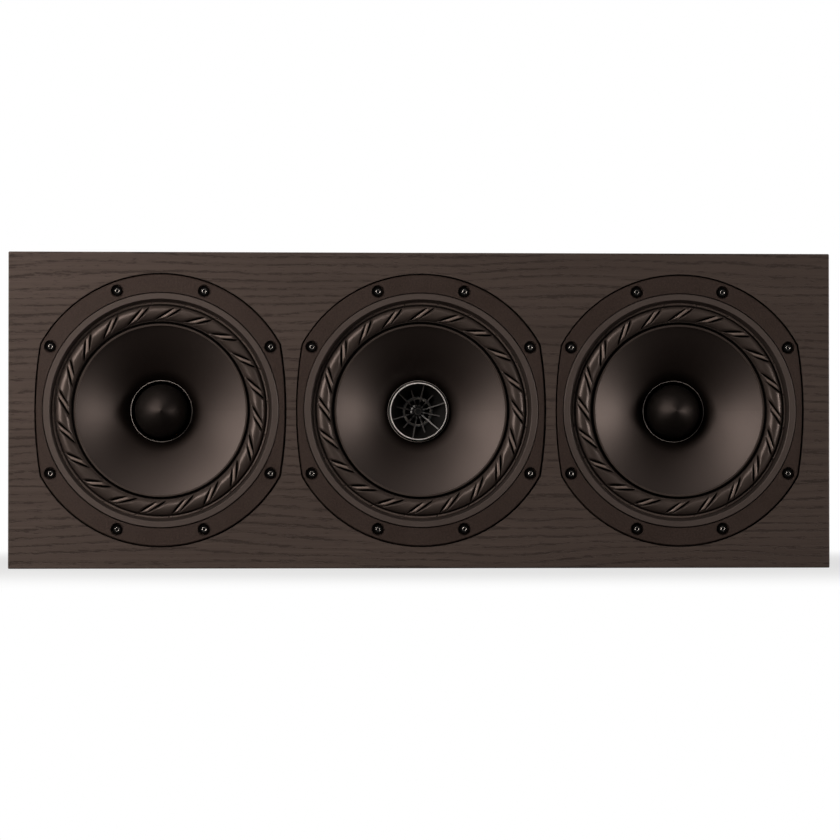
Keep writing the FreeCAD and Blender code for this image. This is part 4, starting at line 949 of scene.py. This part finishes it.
# Studio: a pale floor and a white surround behind the part, lit by three soft lights at the left, two at the
# right, a weak one overhead and two behind. The floor keeps the part's shadow near it and goes to white
# further off.
FLOOR_HALF = 12.0
FLOOR_DROP = 0.0002
FLOOR_GREY = (0.3, 0.3, 0.3, 1)
FLOOR_DULL = (0.05, 0.05, 0.05, 1)
FLOOR_SPREAD = (0.6, 1.0, 0.0)
FLOOR_GLOW = (0.72, 1.0)
SHADOW_REACH = (0.25, 0.75)
HORIZON = (0.0, 0.2)
WHITE = (1, 1, 1, 1)
AMBIENT = 0.10
LAMP_COLOUR = (1.0, 0.93, 0.87)
floor_mesh = bpy.data.meshes.new("floor")
corners = [(x * FLOOR_HALF, y * FLOOR_HALF, -FLOOR_DROP) for x, y in ((-1, -1), (1, -1), (1, 1), (-1, 1))]
floor_mesh.from_pydata(corners, [], [(0, 1, 2, 3)])
floor = bpy.data.objects.new("floor", floor_mesh)
bpy.context.scene.collection.objects.link(floor)

paper = bpy.data.materials.new("paper_floor")
paper.use_nodes = True
tree = paper.node_tree
tree.nodes.clear()
rays = add(tree, "LightPath").node.outputs
place = add(tree, "SeparateXYZ", where(tree)).node.outputs
seen_behind = calc(tree, "MAXIMUM", rays["Is Glossy Ray"], rays["Is Transmission Ray"])
seen_behind = calc(tree, "MULTIPLY", seen_behind, calc(tree, "GREATER_THAN", place["Y"], cad_box[1].y))
shown = calc(tree, "MAXIMUM", rays["Is Camera Ray"], seen_behind)
footprint = add(tree, "VectorMath", where(tree), FLOOR_SPREAD, operation="MULTIPLY")
distance = add(tree, "VectorMath", footprint, operation="LENGTH").node.outputs["Value"]
glow = fade(tree, distance, *SHADOW_REACH, *FLOOR_GLOW)
matt = add(tree, "BsdfDiffuse", FLOOR_GREY)
light = add(tree, "Emission", WHITE, 1.0)
lit = add(tree, "MixShader", glow, matt, light)
dull = add(tree, "BsdfDiffuse", FLOOR_DULL)
surface = add(tree, "MixShader", shown, dull, lit)
add(tree, "OutputMaterial", surface)
floor_mesh.materials.append(paper)

world = bpy.data.worlds.new("studio")
bpy.context.scene.world = world
world.use_nodes = True
tree = world.node_tree
tree.nodes.clear()
rays = add(tree, "LightPath").node.outputs
ahead = add(tree, "SeparateXYZ", add(tree, "TexCoord").node.outputs["Generated"]).node.outputs["Y"]
seen_behind = calc(tree, "MAXIMUM", rays["Is Glossy Ray"], rays["Is Transmission Ray"])
seen_behind = calc(tree, "MULTIPLY", seen_behind, fade(tree, ahead, *HORIZON))
white = calc(tree, "MAXIMUM", rays["Is Camera Ray"], seen_behind)
strength = calc(tree, "MAXIMUM", white, AMBIENT)
add(tree, "OutputWorld", add(tree, "Background", WHITE, strength))


def softbox(name, azimuth, elevation, distance, size, power):
    """A rectangular light at an angle from straight in front of the part, turned to its middle."""
    lamp = bpy.data.lights.new(name, "AREA")
    lamp.shape = "RECTANGLE"
    lamp.size, lamp.size_y = size
    lamp.energy = power
    lamp.color = LAMP_COLOUR
    holder = bpy.data.objects.new(name, lamp)
    turn, lift = math.radians(azimuth), math.radians(elevation)
    back = Vector((math.sin(turn) * math.cos(lift), -math.cos(turn) * math.cos(lift), math.sin(lift)))
    middle = Vector((0, cad_box[0].y, AXIS_Z))
    holder.location = middle + back * distance
    holder.rotation_mode = "QUATERNION"
    holder.rotation_quaternion = back.to_track_quat("Z", "Y")
    holder.visible_camera = False
    bpy.context.scene.collection.objects.link(holder)


softbox("left_key", -53, 6, 1.3, (0.6, 0.9), 10.3)
softbox("left_upper", -40, 38, 1.3, (0.6, 0.6), 6.2)
softbox("left_far", -74, 12, 2.5, (0.9, 0.9), 7)
softbox("right_key", 70, 0, 1.3, (0.6, 0.36), 5.2)
softbox("right_far", 74, 5, 2.5, (0.9, 0.8), 10.0)
softbox("overhead", 0, 65, 1.3, (0.6, 0.6), 1)
softbox("back_left", -145, 25, 2.5, (0.9, 0.9), 15)
softbox("back_right", 145, 25, 2.5, (0.9, 0.9), 15)

CAMERA_DISTANCE = 3.0
CAMERA_SIDE = -0.166
CAMERA_HEIGHT = 0.0726
CAMERA_TURN = math.radians(-3.146)
CAMERA_LIFT = math.radians(0.952)
CAMERA_ROLL = math.radians(0.01)
SENSOR = 36.0
FRAME_AT_BAFFLE = 0.6933
SIGHT_LIMIT = 60
camera = bpy.data.cameras.new("camera")
camera.sensor_width = SENSOR
camera.lens = SENSOR * CAMERA_DISTANCE / FRAME_AT_BAFFLE
camera.clip_end = SIGHT_LIMIT
viewer = bpy.data.objects.new("camera", camera)
viewer.location = (CAMERA_SIDE, cad_box[0].y - CAMERA_DISTANCE, CAMERA_HEIGHT)
viewer.rotation_euler = (math.radians(90) + CAMERA_LIFT, CAMERA_ROLL, CAMERA_TURN)
bpy.context.scene.collection.objects.link(viewer)
bpy.context.scene.camera = viewer
bpy.context.scene.view_settings.view_transform = "Standard"
